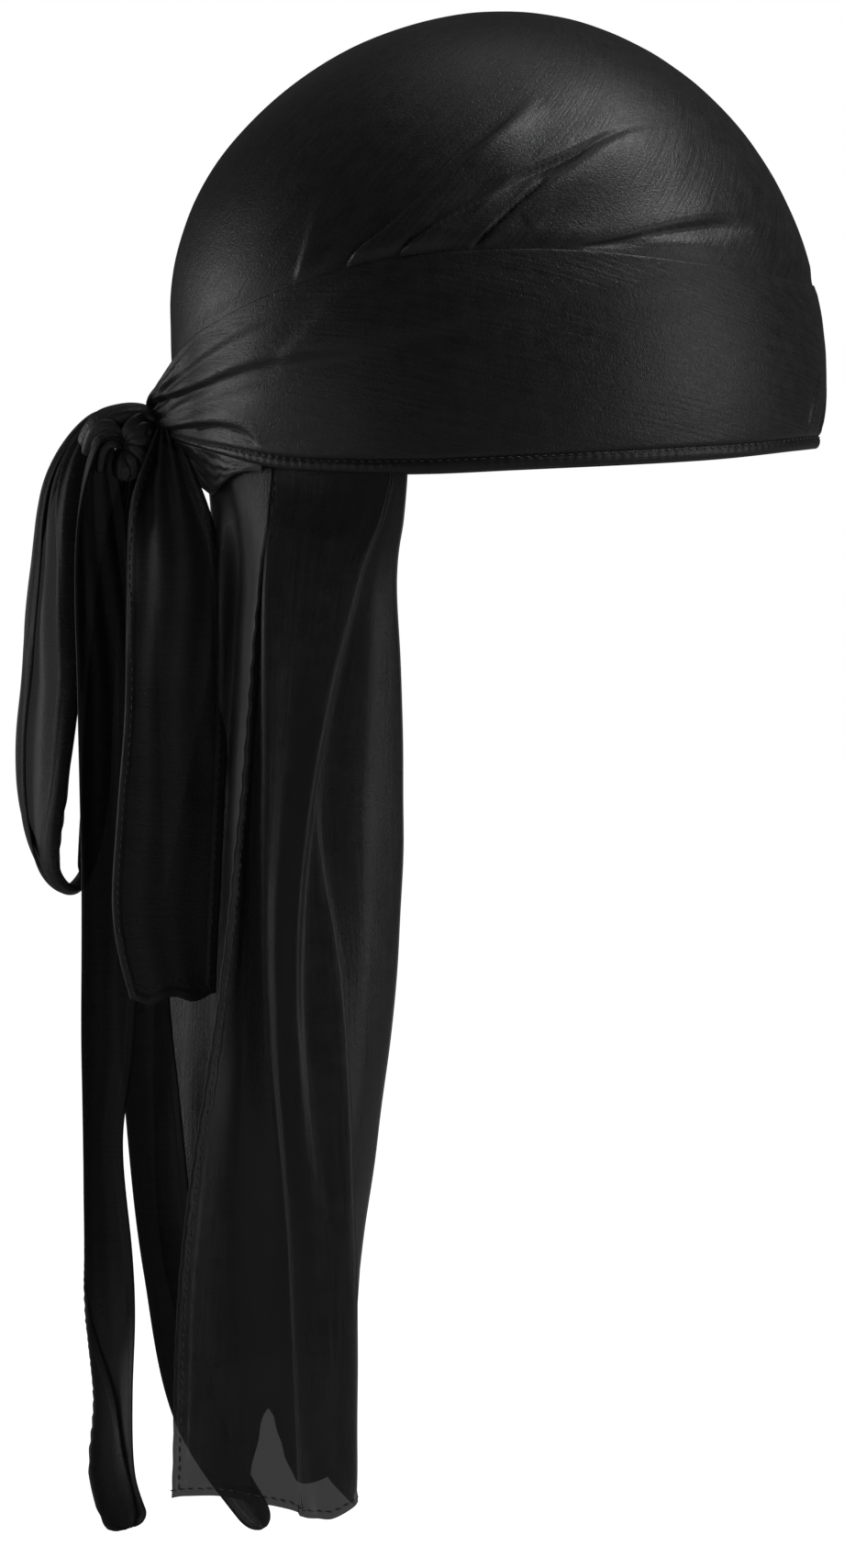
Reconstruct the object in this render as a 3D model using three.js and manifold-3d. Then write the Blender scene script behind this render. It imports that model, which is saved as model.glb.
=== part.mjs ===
// A satin durag in its worn form: a domed crown, two wide ties that wrap the head and are knotted
// at the nape, a loop and three ends that hang from the knot, and a cape that covers the neck.
// Millimetres. +X is the wearer's front, +Y the wearer's left, +Z up. The origin is the middle of
// the head opening, at the height of the hem.

import * as THREE from 'three';
import { mergeVertices } from 'three/addons/utils/BufferGeometryUtils.js';
import Module from 'manifold-3d';

// Sizes of the crown, to the outer face of the cloth
const FRONT_REACH = 91.7;
const BACK_REACH = 94;
const HALF_BREADTH = 76;
const CROWN_HEIGHT = 124.5;
const FRONT_SHOULDER = 20;
const BACK_SHOULDER = 40;

// Cloth and clearances
const CLOTH = 1.2;
const GAP = 0.4;
const BINDING_HEIGHT = 4.6;
const BINDING_THICKNESS = 2.6;
const BAND_WIDTH = 50;

// Knot, with its middle behind the crown and above the hem
const KNOT_STANDOFF = 9;
const KNOT_RISE = 3.5;
const KNOT_DEPTH = 15;
const KNOT_BREADTH = 30;
const KNOT_HEIGHT = 20;
const KNOT_WAIST = 0.28;
const KNOT_WAIST_SPAN = 0.42;
const WRAP_BREADTH = 10;
const WRAP_THICKNESS = 2.4;
const WRAP_SLACK = 1.03;

// Loop and ends, measured down from the knot
const LOOP_DROP = 127;
const LOOP_WIDTH = 26;
const SHORT_TAIL_DROP = 157;
const SHORT_TAIL_WIDTH = 31;
const LONG_TAIL_DROP = 308;
const LONG_TAIL_WIDTH = 21;
const UNDER_TAIL_DROP = 305;
const UNDER_TAIL_WIDTH = 17;
const TAIL_SWING = 40;

// Turn of cloth at the nape, with where it starts in degrees from the forehead
const TUCK_TURN = 138;
const TUCK_DROP = 12;

// Cape
const CAPE_DROP = 292;
const CAPE_LAP = 6;

// Fineness of the facets
const CROWN_SPOKES = 54;
const CROWN_RINGS = 12;
const BAND_STEPS = { right: 30, left: 24, across: 5 };
const BINDING_STEPS = { along: 48, around: 8 };
const TUCK_STEPS = { along: 14, across: 2 };
const KNOT_STEPS = { around: 18, across: 12 };
const WRAP_STEPS = 20;
const LOOP_STEPS = { along: 30, across: 4 };
const SHORT_TAIL_STEPS = { along: 16, across: 5 };
const LONG_TAIL_STEPS = { along: 34, across: 4 };
const UNDER_TAIL_STEPS = { along: 24, across: 4 };
const CAPE_STEPS_PER_FOLD = 2;
const CAPE_RINGS = 15;
const FOLD_SAMPLES = 16;

const DEGREE = Math.PI / 180;
const clamp = (value) => Math.min(1, Math.max(0, value));
const mix = (a, b, t) => a + (b - a) * t;
const ease = (t) => clamp(t) ** 2 * (3 - 2 * clamp(t));
const steps = (count) => Array.from({ length: count + 1 }, (_, k) => k / count);

// Reads one column of a table between its rows, along a smooth line through them
function smoothColumn(rows, column, t) {
  const at = clamp(t) * (rows.length - 1);
  const i = Math.min(rows.length - 2, Math.floor(at));
  const s = at - i;
  const value = (k) => rows[Math.min(rows.length - 1, Math.max(0, k))][column];
  const [a, b, c, d] = [value(i - 1), value(i), value(i + 1), value(i + 2)];
  const slopeB = (c - a) / 2;
  const slopeC = (d - b) / 2;
  const rise = c - b;
  return b + s * slopeB + s * s * (3 * rise - 2 * slopeB - slopeC) + s ** 3 * (slopeB + slopeC - 2 * rise);
}

// Reads one column of a table whose rows stand at the places in its key column
function columnAt(rows, key, column, place) {
  let i = 0;
  while (i < rows.length - 2 && place > rows[i + 1][key]) i += 1;
  const t = clamp((place - rows[i][key]) / (rows[i + 1][key] - rows[i][key]));
  return mix(rows[i][column], rows[i + 1][column], (t + ease(t)) / 2);
}

// The hem and the ties' upper edge round the head. turn is in degrees from the forehead, hem is a
// share of the crown's height and top is a share of the ties' width above the hem.
const EDGE = [
  { turn: 0, hem: 0.011, top: 0.92 },
  { turn: 18, hem: 0.007, top: 0.935 },
  { turn: 48, hem: -0.014, top: 1.06 },
  { turn: 87, hem: -0.036, top: 1.195 },
  { turn: 103, hem: -0.045, top: 1.19 },
  { turn: 115, hem: -0.046, top: 1.14 },
  { turn: 130, hem: -0.04, top: 1.0 },
  { turn: 146, hem: -0.018, top: 0.79 },
  { turn: 164, hem: 0.006, top: 0.54 },
  { turn: 172, hem: 0.022, top: 0.34 },
  { turn: 180, hem: 0.026, top: 0.2 },
];
const turnOf = (angle) => Math.abs(Math.atan2(Math.sin(angle), Math.cos(angle))) / DEGREE;
const hemHeight = (angle) => CROWN_HEIGHT * columnAt(EDGE, 'turn', 'hem', turnOf(angle));
const bandTop = (angle) => hemHeight(angle) + BAND_WIDTH * columnAt(EDGE, 'turn', 'top', turnOf(angle));

// The head's form: an egg-shaped plan under a dome that is fuller at the forehead
const frontShare = (angle) => (1 + Math.cos(angle)) / 2;
const shoulder = (angle) => mix(BACK_SHOULDER, FRONT_SHOULDER, frontShare(angle));
const fullness = (angle) => mix(1.92, 2.02, frontShare(angle)) + 0.28 * Math.sin(angle) ** 2;
const EGG = 0.05;
const NAPE_TAPER = 0.03;

function plan(angle) {
  const reach = Math.cos(angle) > 0 ? FRONT_REACH : BACK_REACH;
  return [reach * Math.cos(angle), HALF_BREADTH * Math.sin(angle) * (1 - EGG * Math.cos(angle))];
}

function headAt(angle, height) {
  const base = shoulder(angle);
  const n = fullness(angle);
  const above = clamp((height - base) / (CROWN_HEIGHT - base));
  const below = Math.max(0, (base - height) / base);
  const share = height > base ? (1 - above ** n) ** (1 / n) : 1 - NAPE_TAPER * below ** 2;
  const [x, y] = plan(angle);
  return new THREE.Vector3(x * share, y * share, height);
}

// Outward direction of the head's form at a point given by its turn and height
function headNormal(angle, height) {
  const step = 0.5;
  const low = headAt(angle, Math.min(height, CROWN_HEIGHT - 2 * step) - step);
  const high = headAt(angle, Math.min(height, CROWN_HEIGHT - 2 * step) + step);
  const along = high.sub(low);
  const round = headAt(angle + 0.01, height).sub(headAt(angle - 0.01, height));
  return round.cross(along).normalize();
}

// Folds pulled into the cloth above and along the ties. Each runs from one place to another in the
// side view, with forward as a share of the back reach from the middle and up as a share of the
// crown's height. bow is how far its middle lifts, height and width are shares of the band width.
const CROWN_FOLDS = [
  { forward: -0.63, up: 0.3, toForward: -0.54, toUp: 0.56, bow: 0.01, height: 0.03, width: 0.09 },
  { forward: -0.52, up: 0.34, toForward: 0.09, toUp: 0.78, bow: 0.03, height: 0.07, width: 0.13 },
  { forward: -0.42, up: 0.37, toForward: 0.5, toUp: 0.74, bow: 0.07, height: 0.06, width: 0.13 },
  { forward: -0.15, up: 0.41, toForward: 0.14, toUp: 0.62, bow: 0.0, height: 0.035, width: 0.07 },
  { forward: 0.05, up: 0.43, toForward: 0.68, toUp: 0.53, bow: -0.01, height: 0.055, width: 0.1 },
];
const BAND_FOLDS = [
  { forward: -1.02, up: 0.1, toForward: -0.3, toUp: 0.25, bow: 0.06, height: 0.05, width: 0.14 },
  { forward: -1.0, up: 0.05, toForward: -0.68, toUp: 0.02, bow: 0.04, height: 0.035, width: 0.08 },
  { forward: -0.98, up: 0.12, toForward: -0.5, toUp: 0.33, bow: 0.05, height: 0.04, width: 0.12 },
];

function foldLift(rows, point) {
  let lift = 0;
  for (const fold of rows) {
    let nearest = Infinity;
    let place = 0;
    for (let k = 0; k < FOLD_SAMPLES; k += 1) {
      const t = k / (FOLD_SAMPLES - 1);
      const x = BACK_REACH * mix(fold.forward, fold.toForward, t);
      const z = CROWN_HEIGHT * (mix(fold.up, fold.toUp, t) + fold.bow * 4 * t * (1 - t));
      const away = Math.hypot(point.x - x, point.z - z);
      if (away < nearest) {
        nearest = away;
        place = t;
      }
    }
    const fade = ease(place * 5 + 0.3) * ease((1 - place) * 2.2);
    lift += BAND_WIDTH * fold.height * fade * Math.exp(-((nearest / (BAND_WIDTH * fold.width)) ** 2));
  }
  return lift * ease(Math.abs(point.y) / HALF_BREADTH * 3 - 0.2);
}

// A point of a layer on the head, offset outwards along the head's normal
function onHead(angle, height, offset) {
  return headAt(angle, height).addScaledVector(headNormal(angle, height), offset);
}

// Closed solid of a cloth: a grid of points on its middle surface, half a wall laid on each side.
// ring joins its two ends, and crest draws its last row into one point.
function clothSolid(point, us, vs, wall, { ring = false, crest = false } = {}) {
  const nudge = 1e-3;
  const positions = [];
  const index = [];
  const cols = us.length;
  const rows = vs.length;
  const normalAt = (u, v) => {
    const du = point(Math.min(1, u + nudge), v).sub(point(Math.max(0, u - nudge), v));
    const dv = point(u, Math.min(1, v + nudge)).sub(point(u, Math.max(0, v - nudge)));
    return du.cross(dv).normalize();
  };
  for (const side of [0.5, -0.5]) {
    for (let j = 0; j < rows; j += 1) {
      for (let i = 0; i < cols; i += 1) {
        const top = crest && j === rows - 1;
        const normal = top ? new THREE.Vector3(0, 0, 1) : normalAt(us[i], vs[j]);
        const spot = point(us[i], vs[j]).addScaledVector(normal, side * wall);
        positions.push(spot.x, spot.y, spot.z);
      }
    }
  }
  const skin = cols * rows;
  const outer = (i, j) => (j * cols + (i % cols));
  const inner = (i, j) => skin + outer(i, j);
  const quad = (a, b, c, d) => index.push(a, b, c, a, c, d);
  const last = ring ? cols : cols - 1;
  for (let i = 0; i < last; i += 1) {
    for (let j = 0; j < rows - 1; j += 1) {
      if (crest && j === rows - 2) {
        index.push(outer(i, j), outer(i + 1, j), outer(0, j + 1));
        index.push(inner(i, j), inner(0, j + 1), inner(i + 1, j));
      } else {
        quad(outer(i, j), outer(i + 1, j), outer(i + 1, j + 1), outer(i, j + 1));
        quad(inner(i, j), inner(i, j + 1), inner(i + 1, j + 1), inner(i + 1, j));
      }
    }
    quad(outer(i + 1, 0), outer(i, 0), inner(i, 0), inner(i + 1, 0));
    if (!crest) {
      const j = rows - 1;
      quad(outer(i, j), outer(i + 1, j), inner(i + 1, j), inner(i, j));
    }
  }
  if (!ring) {
    for (let j = 0; j < rows - 1; j += 1) {
      const i = cols - 1;
      quad(outer(0, j), outer(0, j + 1), inner(0, j + 1), inner(0, j));
      quad(outer(i, j + 1), outer(i, j), inner(i, j), inner(i, j + 1));
    }
  }
  return closedGeometry(positions, index);
}

function closedGeometry(positions, index) {
  const geometry = new THREE.BufferGeometry();
  geometry.setAttribute('position', new THREE.Float32BufferAttribute(positions, 3));
  geometry.setIndex(index);
  return mergeVertices(geometry, 1e-4);
}

// Cutting one closed solid from another
const wasm = await Module();
wasm.setup();

function toManifold(geometry) {
  const source = new wasm.Mesh({
    numProp: 3,
    vertProperties: new Float32Array(geometry.getAttribute('position').array),
    triVerts: new Uint32Array(geometry.index.array),
  });
  return new wasm.Manifold(source);
}

function cut(geometry, ...tools) {
  let solid = toManifold(geometry);
  for (const tool of tools) solid = solid.subtract(toManifold(tool));
  const mesh = solid.getMesh();
  return closedGeometry(Array.from(mesh.vertProperties), Array.from(mesh.triVerts));
}

// Crown: facets stand closer together above the temples, where the folds are
const SPOKE_CROWDING = 0.3;
const SPOKE_SHIFT = 0.03;

function crownTurns() {
  return Array.from({ length: CROWN_SPOKES }, (_, k) => {
    const t = k / CROWN_SPOKES;
    return t - (SPOKE_CROWDING / (4 * Math.PI)) * Math.sin(4 * Math.PI * (t - SPOKE_SHIFT));
  });
}

// How far the ties press the crown in, and the stretch above them where it swells out again
const UNDER_BAND = CLOTH + GAP;
const PINCH_RUN = 6;
const PINCH_MARGIN = 1.2;
const crownFoot = (angle) => hemHeight(angle) + BINDING_HEIGHT + GAP;
const pinchFoot = (angle) => bandTop(angle) + PINCH_MARGIN;

// A height on the dome as an angle: 0 at the shoulder, 90 degrees at the crest, less than 0 below
function climbOf(angle, height) {
  const base = shoulder(angle);
  const share = (height - base) / (CROWN_HEIGHT - base);
  return share > 0 ? Math.asin(share ** (fullness(angle) / 2)) : share;
}

function heightOf(angle, climb) {
  const base = shoulder(angle);
  const share = climb > 0 ? Math.sin(climb) ** (2 / fullness(angle)) : climb;
  return base + (CROWN_HEIGHT - base) * share;
}

// Rows of the crown: two steps up behind the ties, one over the pinch, the rest up to the crest
const CROWN_WALL = 0.2;
const CROWN_PINCH = 0.26;
const crownRows = [0, CROWN_WALL / 2, CROWN_WALL].concat(
  steps(CROWN_RINGS).map((t) => mix(CROWN_PINCH, 1, t)),
);

function crownPoint(u, v) {
  const angle = 2 * Math.PI * u;
  if (v === 1) return new THREE.Vector3(0, 0, CROWN_HEIGHT - CLOTH / 2);
  const low = pinchFoot(angle);
  const freeFrom = climbOf(angle, low + PINCH_RUN);
  let height = heightOf(angle, mix(freeFrom, Math.PI / 2, (v - CROWN_PINCH) / (1 - CROWN_PINCH)));
  if (v < CROWN_PINCH) height = mix(low, low + PINCH_RUN, (v - CROWN_WALL) / (CROWN_PINCH - CROWN_WALL));
  if (v < CROWN_WALL) height = mix(crownFoot(angle), low, v / CROWN_WALL);
  const level = Math.min(height, CROWN_HEIGHT - 0.01);
  const free = ease((level - low) / PINCH_RUN);
  const lift = free * foldLift(CROWN_FOLDS, headAt(angle, level));
  return onHead(angle, level, lift - CLOTH / 2 - UNDER_BAND * (1 - free));
}

const crownGeometry = clothSolid(crownPoint, crownTurns(), crownRows, CLOTH, {
  ring: true,
  crest: true,
});

// Knot: a gathered bundle, waisted where one turn of strap goes round its middle
const knotCentre = new THREE.Vector3(-BACK_REACH - KNOT_STANDOFF, 0, KNOT_RISE);

const waistAt = (breadth) => 1 - KNOT_WAIST * Math.exp(-((breadth / KNOT_WAIST_SPAN) ** 2));

function knotPoint(u, v, grow) {
  const round = 2 * Math.PI * u;
  const across = (v - 0.5) * 2;
  const breadth = Math.sin(across * 90 * DEGREE);
  const swell = Math.cos(across * 90 * DEGREE) ** 0.55;
  const pleat = 1 + 0.05 * Math.cos(5 * round) * clamp(3 * Math.abs(breadth));
  const radial = swell * waistAt(breadth) * pleat;
  return new THREE.Vector3(
    knotCentre.x + (KNOT_DEPTH / 2 + grow) * radial * Math.cos(round),
    knotCentre.y + (KNOT_BREADTH / 2 + grow) * breadth,
    knotCentre.z + (KNOT_HEIGHT / 2 + grow) * radial * Math.sin(round),
  );
}

function knotSolid(grow) {
  const { around, across } = KNOT_STEPS;
  const positions = [];
  const index = [];
  for (let j = 1; j < across; j += 1) {
    for (let i = 0; i < around; i += 1) {
      const spot = knotPoint(i / around, j / across, grow);
      positions.push(spot.x, spot.y, spot.z);
    }
  }
  const near = positions.length / 3;
  positions.push(knotCentre.x, knotCentre.y - KNOT_BREADTH / 2 - grow, knotCentre.z);
  positions.push(knotCentre.x, knotCentre.y + KNOT_BREADTH / 2 + grow, knotCentre.z);
  const spot = (i, j) => (j - 1) * around + (i % around);
  for (let i = 0; i < around; i += 1) {
    for (let j = 1; j < across - 1; j += 1) {
      index.push(spot(i, j), spot(i, j + 1), spot(i + 1, j + 1));
      index.push(spot(i, j), spot(i + 1, j + 1), spot(i + 1, j));
    }
    index.push(near, spot(i, 1), spot(i + 1, 1));
    index.push(near + 1, spot(i + 1, across - 1), spot(i, across - 1));
  }
  return closedGeometry(positions, index);
}

const knotGeometry = knotSolid(0);
const knotRoom = knotSolid(GAP);

// The strap round the knot's waist, a flat ring with rounded edges
function wrapSolid(grow) {
  const section = [
    { out: 0, side: -0.5 },
    { out: 0, side: 0.5 },
    { out: 0.7, side: 0.42 },
    { out: 1, side: 0.2 },
    { out: 0.92, side: 0 },
    { out: 1, side: -0.2 },
    { out: 0.7, side: -0.42 },
  ];
  const positions = [];
  const index = [];
  for (let i = 0; i < WRAP_STEPS; i += 1) {
    const round = 2 * Math.PI * i / WRAP_STEPS;
    for (const row of section) {
      const start = GAP - (row.out === 0 ? grow : 0);
      const room = start + row.out * (WRAP_THICKNESS + grow);
      const side = row.side * (WRAP_BREADTH + 2 * grow);
      const spread = WRAP_SLACK * waistAt(side / (KNOT_BREADTH / 2));
      positions.push(
        knotCentre.x + (KNOT_DEPTH / 2 * spread + room) * Math.cos(round),
        knotCentre.y + side,
        knotCentre.z + (KNOT_HEIGHT / 2 * spread + room) * Math.sin(round),
      );
    }
  }
  const count = section.length;
  for (let i = 0; i < WRAP_STEPS; i += 1) {
    for (let j = 0; j < count; j += 1) {
      const a = i * count + j;
      const b = i * count + ((j + 1) % count);
      const c = ((i + 1) % WRAP_STEPS) * count + ((j + 1) % count);
      const d = ((i + 1) % WRAP_STEPS) * count + j;
      index.push(a, c, b, a, d, c);
    }
  }
  return closedGeometry(positions, index);
}

const wrapGeometry = wrapSolid(0);
const wrapRoom = wrapSolid(GAP);

// Ties round the head. side is -1 for the wearer's right and 1 for the left, and the path goes from
// the knot forwards. raise lifts the cloth where it lies on the other tie.
const BAND_END_TURN = 177;
const KNOT_REACH = { from: 158, over: 26 };
const OVERLAP = { from: 26, over: 18 };

// How far the ties and the hem stand off the head on their way out to the knot
const towardsKnot = (turn) => KNOT_STANDOFF * ease((turn - KNOT_REACH.from) / KNOT_REACH.over);

function bandPoint(u, v, { side, lastTurn, slant, raise }) {
  const turn = mix(BAND_END_TURN, lastTurn + slant * (v - 0.5), u);
  const angle = side * turn * DEGREE;
  const foot = hemHeight(angle) + BINDING_HEIGHT + GAP;
  const top = bandTop(angle);
  const height = mix(foot, top, v);
  const spot = headAt(angle, height);
  const lift = turn > OVERLAP.from ? foldLift(BAND_FOLDS, spot) : 0;
  return onHead(angle, height, raise(turn) + lift + towardsKnot(turn) - CLOTH / 2);
}

const overlapRaise = (turn) => (CLOTH + GAP) * ease((OVERLAP.from - turn) / OVERLAP.over);
const bandCourse = {
  right: { side: -1, lastTurn: -34, slant: 16, raise: overlapRaise },
  left: { side: 1, lastTurn: -4, slant: 0, raise: () => 0 },
};
const acrossBand = steps(BAND_STEPS.across);
const alongRight = steps(BAND_STEPS.right);
const alongLeft = steps(BAND_STEPS.left);
const rightBand = clothSolid((u, v) => bandPoint(u, v, bandCourse.right), alongRight, acrossBand, CLOTH);
const leftBand = clothSolid((v, u) => bandPoint(u, v, bandCourse.left), acrossBand, alongLeft, CLOTH);

// Rolled hem under the ties, a flattened tube from one side of the knot to the other
const BINDING_END_TURN = 176;
const BINDING_TO_KNOT = 0.8;

function bindingSolid() {
  const count = BINDING_STEPS.along;
  const sides = BINDING_STEPS.around;
  const positions = [];
  const index = [];
  for (let i = 0; i <= count; i += 1) {
    const turn = mix(-BINDING_END_TURN, BINDING_END_TURN, i / count);
    const angle = turn * DEGREE;
    const toKnot = BINDING_TO_KNOT * towardsKnot(Math.abs(turn));
    const middle = hemHeight(angle) + BINDING_HEIGHT / 2;
    const spot = headAt(angle, middle);
    const out = headNormal(angle, middle).setZ(0).normalize();
    for (let k = 0; k < sides; k += 1) {
      const round = 2 * Math.PI * (k + 0.5) / sides;
      const depth = -BINDING_THICKNESS / 2 + toKnot + (BINDING_THICKNESS / 2) * Math.cos(round);
      positions.push(
        spot.x + out.x * depth,
        spot.y + out.y * depth,
        middle + (BINDING_HEIGHT / 2) * Math.sin(round),
      );
    }
  }
  for (let i = 0; i < count; i += 1) {
    for (let k = 0; k < sides; k += 1) {
      const a = i * sides + k;
      const b = i * sides + ((k + 1) % sides);
      index.push(a, a + sides, b + sides, a, b + sides, b);
    }
  }
  for (let k = 1; k < sides - 1; k += 1) {
    const end = count * sides;
    index.push(0, k, k + 1);
    index.push(end, end + k + 1, end + k);
  }
  return closedGeometry(positions, index);
}

// Turn of cloth under the hem at the nape. Below the hem the nape draws the cloth in, most of all
// at the back, by a share of how far the cloth has come down.
const NAPE_LEAN = 0.42;

function napeInset(turn, depth) {
  const nearness = (turnOf(turn * DEGREE) - TUCK_TURN) / (180 - TUCK_TURN);
  return NAPE_LEAN * depth * ease(nearness * 2);
}

function tuckPoint(u, v) {
  const turn = mix(-TUCK_TURN, TUCK_TURN - 360, u);
  const angle = turn * DEGREE;
  const nearness = (turnOf(angle) - TUCK_TURN) / (180 - TUCK_TURN);
  const depth = (1 - v) * (1 + (TUCK_DROP - 1) * ease(nearness * 1.5));
  const spot = headAt(angle, hemHeight(angle));
  const out = headNormal(angle, 0).setZ(0).normalize();
  const offset = -BINDING_THICKNESS / 2 - napeInset(turn, depth);
  return new THREE.Vector3(
    spot.x + out.x * offset,
    spot.y + out.y * offset,
    hemHeight(angle) - GAP - depth,
  );
}

// Hanging straps. Each row of a table is a station down the strap: back, side and drop are shares of
// the swing and of the strap's drop, measured from the knot's middle. width is a share of the
// strap's width, turn is the way it faces in degrees (0 edge on to the side view, 90 face on) and
// curl is how far its edges bend back, as a share of its width.
function strapPoint(rows, size, u, v) {
  const spotAt = (t) => new THREE.Vector3(
    knotCentre.x - TAIL_SWING * smoothColumn(rows, 'back', t),
    knotCentre.y + TAIL_SWING * smoothColumn(rows, 'side', t),
    knotCentre.z - size.drop * smoothColumn(rows, 'drop', t),
  );
  const step = 0.004;
  const along = spotAt(u + step).sub(spotAt(u - step)).normalize();
  const sideways = new THREE.Vector3(0, 1, 0);
  sideways.addScaledVector(along, -along.dot(sideways)).normalize();
  sideways.applyAxisAngle(along, smoothColumn(rows, 'turn', u) * DEGREE);
  const facing = along.clone().cross(sideways);
  const width = size.width * smoothColumn(rows, 'width', u);
  const across = 2 * v - 1;
  const curl = width * smoothColumn(rows, 'curl', u) * (across * across - 0.4);
  return spotAt(u).addScaledVector(sideways, across * width / 2).addScaledVector(facing, curl);
}

function strapSolid(rows, size) {
  const along = steps(size.steps.along);
  const across = steps(size.steps.across);
  return clothSolid((u, v) => strapPoint(rows, size, u, v), along, across, CLOTH);
}

const LOOP_ROWS = [
  { back: 0.05, side: 0.2, drop: -0.03, width: 0.4, turn: 0, curl: 0.2 },
  { back: 0.3, side: 0.26, drop: -0.075, width: 0.5, turn: 8, curl: 0.2 },
  { back: 0.55, side: 0.24, drop: 0.07, width: 0.75, turn: 30, curl: 0.2 },
  { back: 0.62, side: 0.2, drop: 0.29, width: 0.9, turn: 42, curl: 0.16 },
  { back: 0.66, side: 0.2, drop: 0.52, width: 1, turn: 45, curl: 0.12 },
  { back: 0.72, side: 0.24, drop: 0.78, width: 1, turn: 35, curl: 0.1 },
  { back: 0.66, side: 0.32, drop: 0.95, width: 0.9, turn: 12, curl: 0.1 },
  { back: 0.47, side: 0.42, drop: 0.99, width: 0.9, turn: 0, curl: 0.1 },
  { back: 0.34, side: 0.5, drop: 0.85, width: 0.9, turn: -10, curl: 0.12 },
  { back: 0.28, side: 0.52, drop: 0.55, width: 0.8, turn: -12, curl: 0.16 },
  { back: 0.2, side: 0.46, drop: 0.25, width: 0.6, turn: -8, curl: 0.2 },
  { back: 0.04, side: 0.26, drop: 0.01, width: 0.36, turn: 0, curl: 0.2 },
];
const SHORT_TAIL_ROWS = [
  { back: 0.04, side: -0.2, drop: 0.01, width: 0.3, turn: 70, curl: 0.2 },
  { back: -0.14, side: -0.42, drop: 0.1, width: 0.64, turn: 84, curl: 0.22 },
  { back: -0.17, side: -0.47, drop: 0.26, width: 0.84, turn: 90, curl: 0.2 },
  { back: -0.2, side: -0.48, drop: 0.55, width: 0.92, turn: 92, curl: 0.16 },
  { back: -0.2, side: -0.48, drop: 0.82, width: 0.98, turn: 94, curl: 0.14 },
  { back: -0.22, side: -0.48, drop: 1, width: 0.78, turn: 92, curl: 0.16 },
];
const LONG_TAIL_ROWS = [
  { back: 0.02, side: -0.22, drop: 0.002, width: 0.3, turn: 10, curl: 0.1 },
  { back: 0.24, side: -0.24, drop: 0.004, width: 0.5, turn: 24, curl: 0.22 },
  { back: 0.28, side: -0.18, drop: 0.08, width: 0.85, turn: 50, curl: 0.2 },
  { back: 0.22, side: -0.14, drop: 0.24, width: 0.9, turn: 65, curl: 0.18 },
  { back: 0.2, side: -0.13, drop: 0.4, width: 0.84, turn: 70, curl: 0.18 },
  { back: 0.21, side: -0.13, drop: 0.55, width: 0.74, turn: 66, curl: 0.2 },
  { back: 0.23, side: -0.13, drop: 0.65, width: 0.72, turn: 62, curl: 0.2 },
  { back: 0.23, side: -0.13, drop: 0.75, width: 0.66, turn: 76, curl: 0.2 },
  { back: 0.14, side: -0.13, drop: 0.87, width: 0.68, turn: 126, curl: 0.2 },
  { back: 0.17, side: -0.13, drop: 0.95, width: 0.72, turn: 118, curl: 0.18 },
  { back: 0.06, side: -0.13, drop: 1, width: 0.66, turn: 110, curl: 0.14 },
];
const UNDER_TAIL_ROWS = [
  { back: -0.02, side: 0.2, drop: 0.01, width: 0.4, turn: 60, curl: 0.2 },
  { back: 0.02, side: 0.26, drop: 0.1, width: 0.6, turn: 75, curl: 0.2 },
  { back: 0.0, side: 0.27, drop: 0.3, width: 0.7, turn: 85, curl: 0.18 },
  { back: -0.02, side: 0.22, drop: 0.5, width: 0.85, turn: 88, curl: 0.16 },
  { back: -0.06, side: 0.12, drop: 0.64, width: 0.95, turn: 90, curl: 0.16 },
  { back: -0.16, side: 0.0, drop: 0.77, width: 0.92, turn: 84, curl: 0.16 },
  { back: -0.42, side: -0.4, drop: 0.9, width: 0.76, turn: 80, curl: 0.14 },
  { back: -0.9, side: -0.66, drop: 1, width: 0.5, turn: 80, curl: 0.12 },
];

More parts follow.
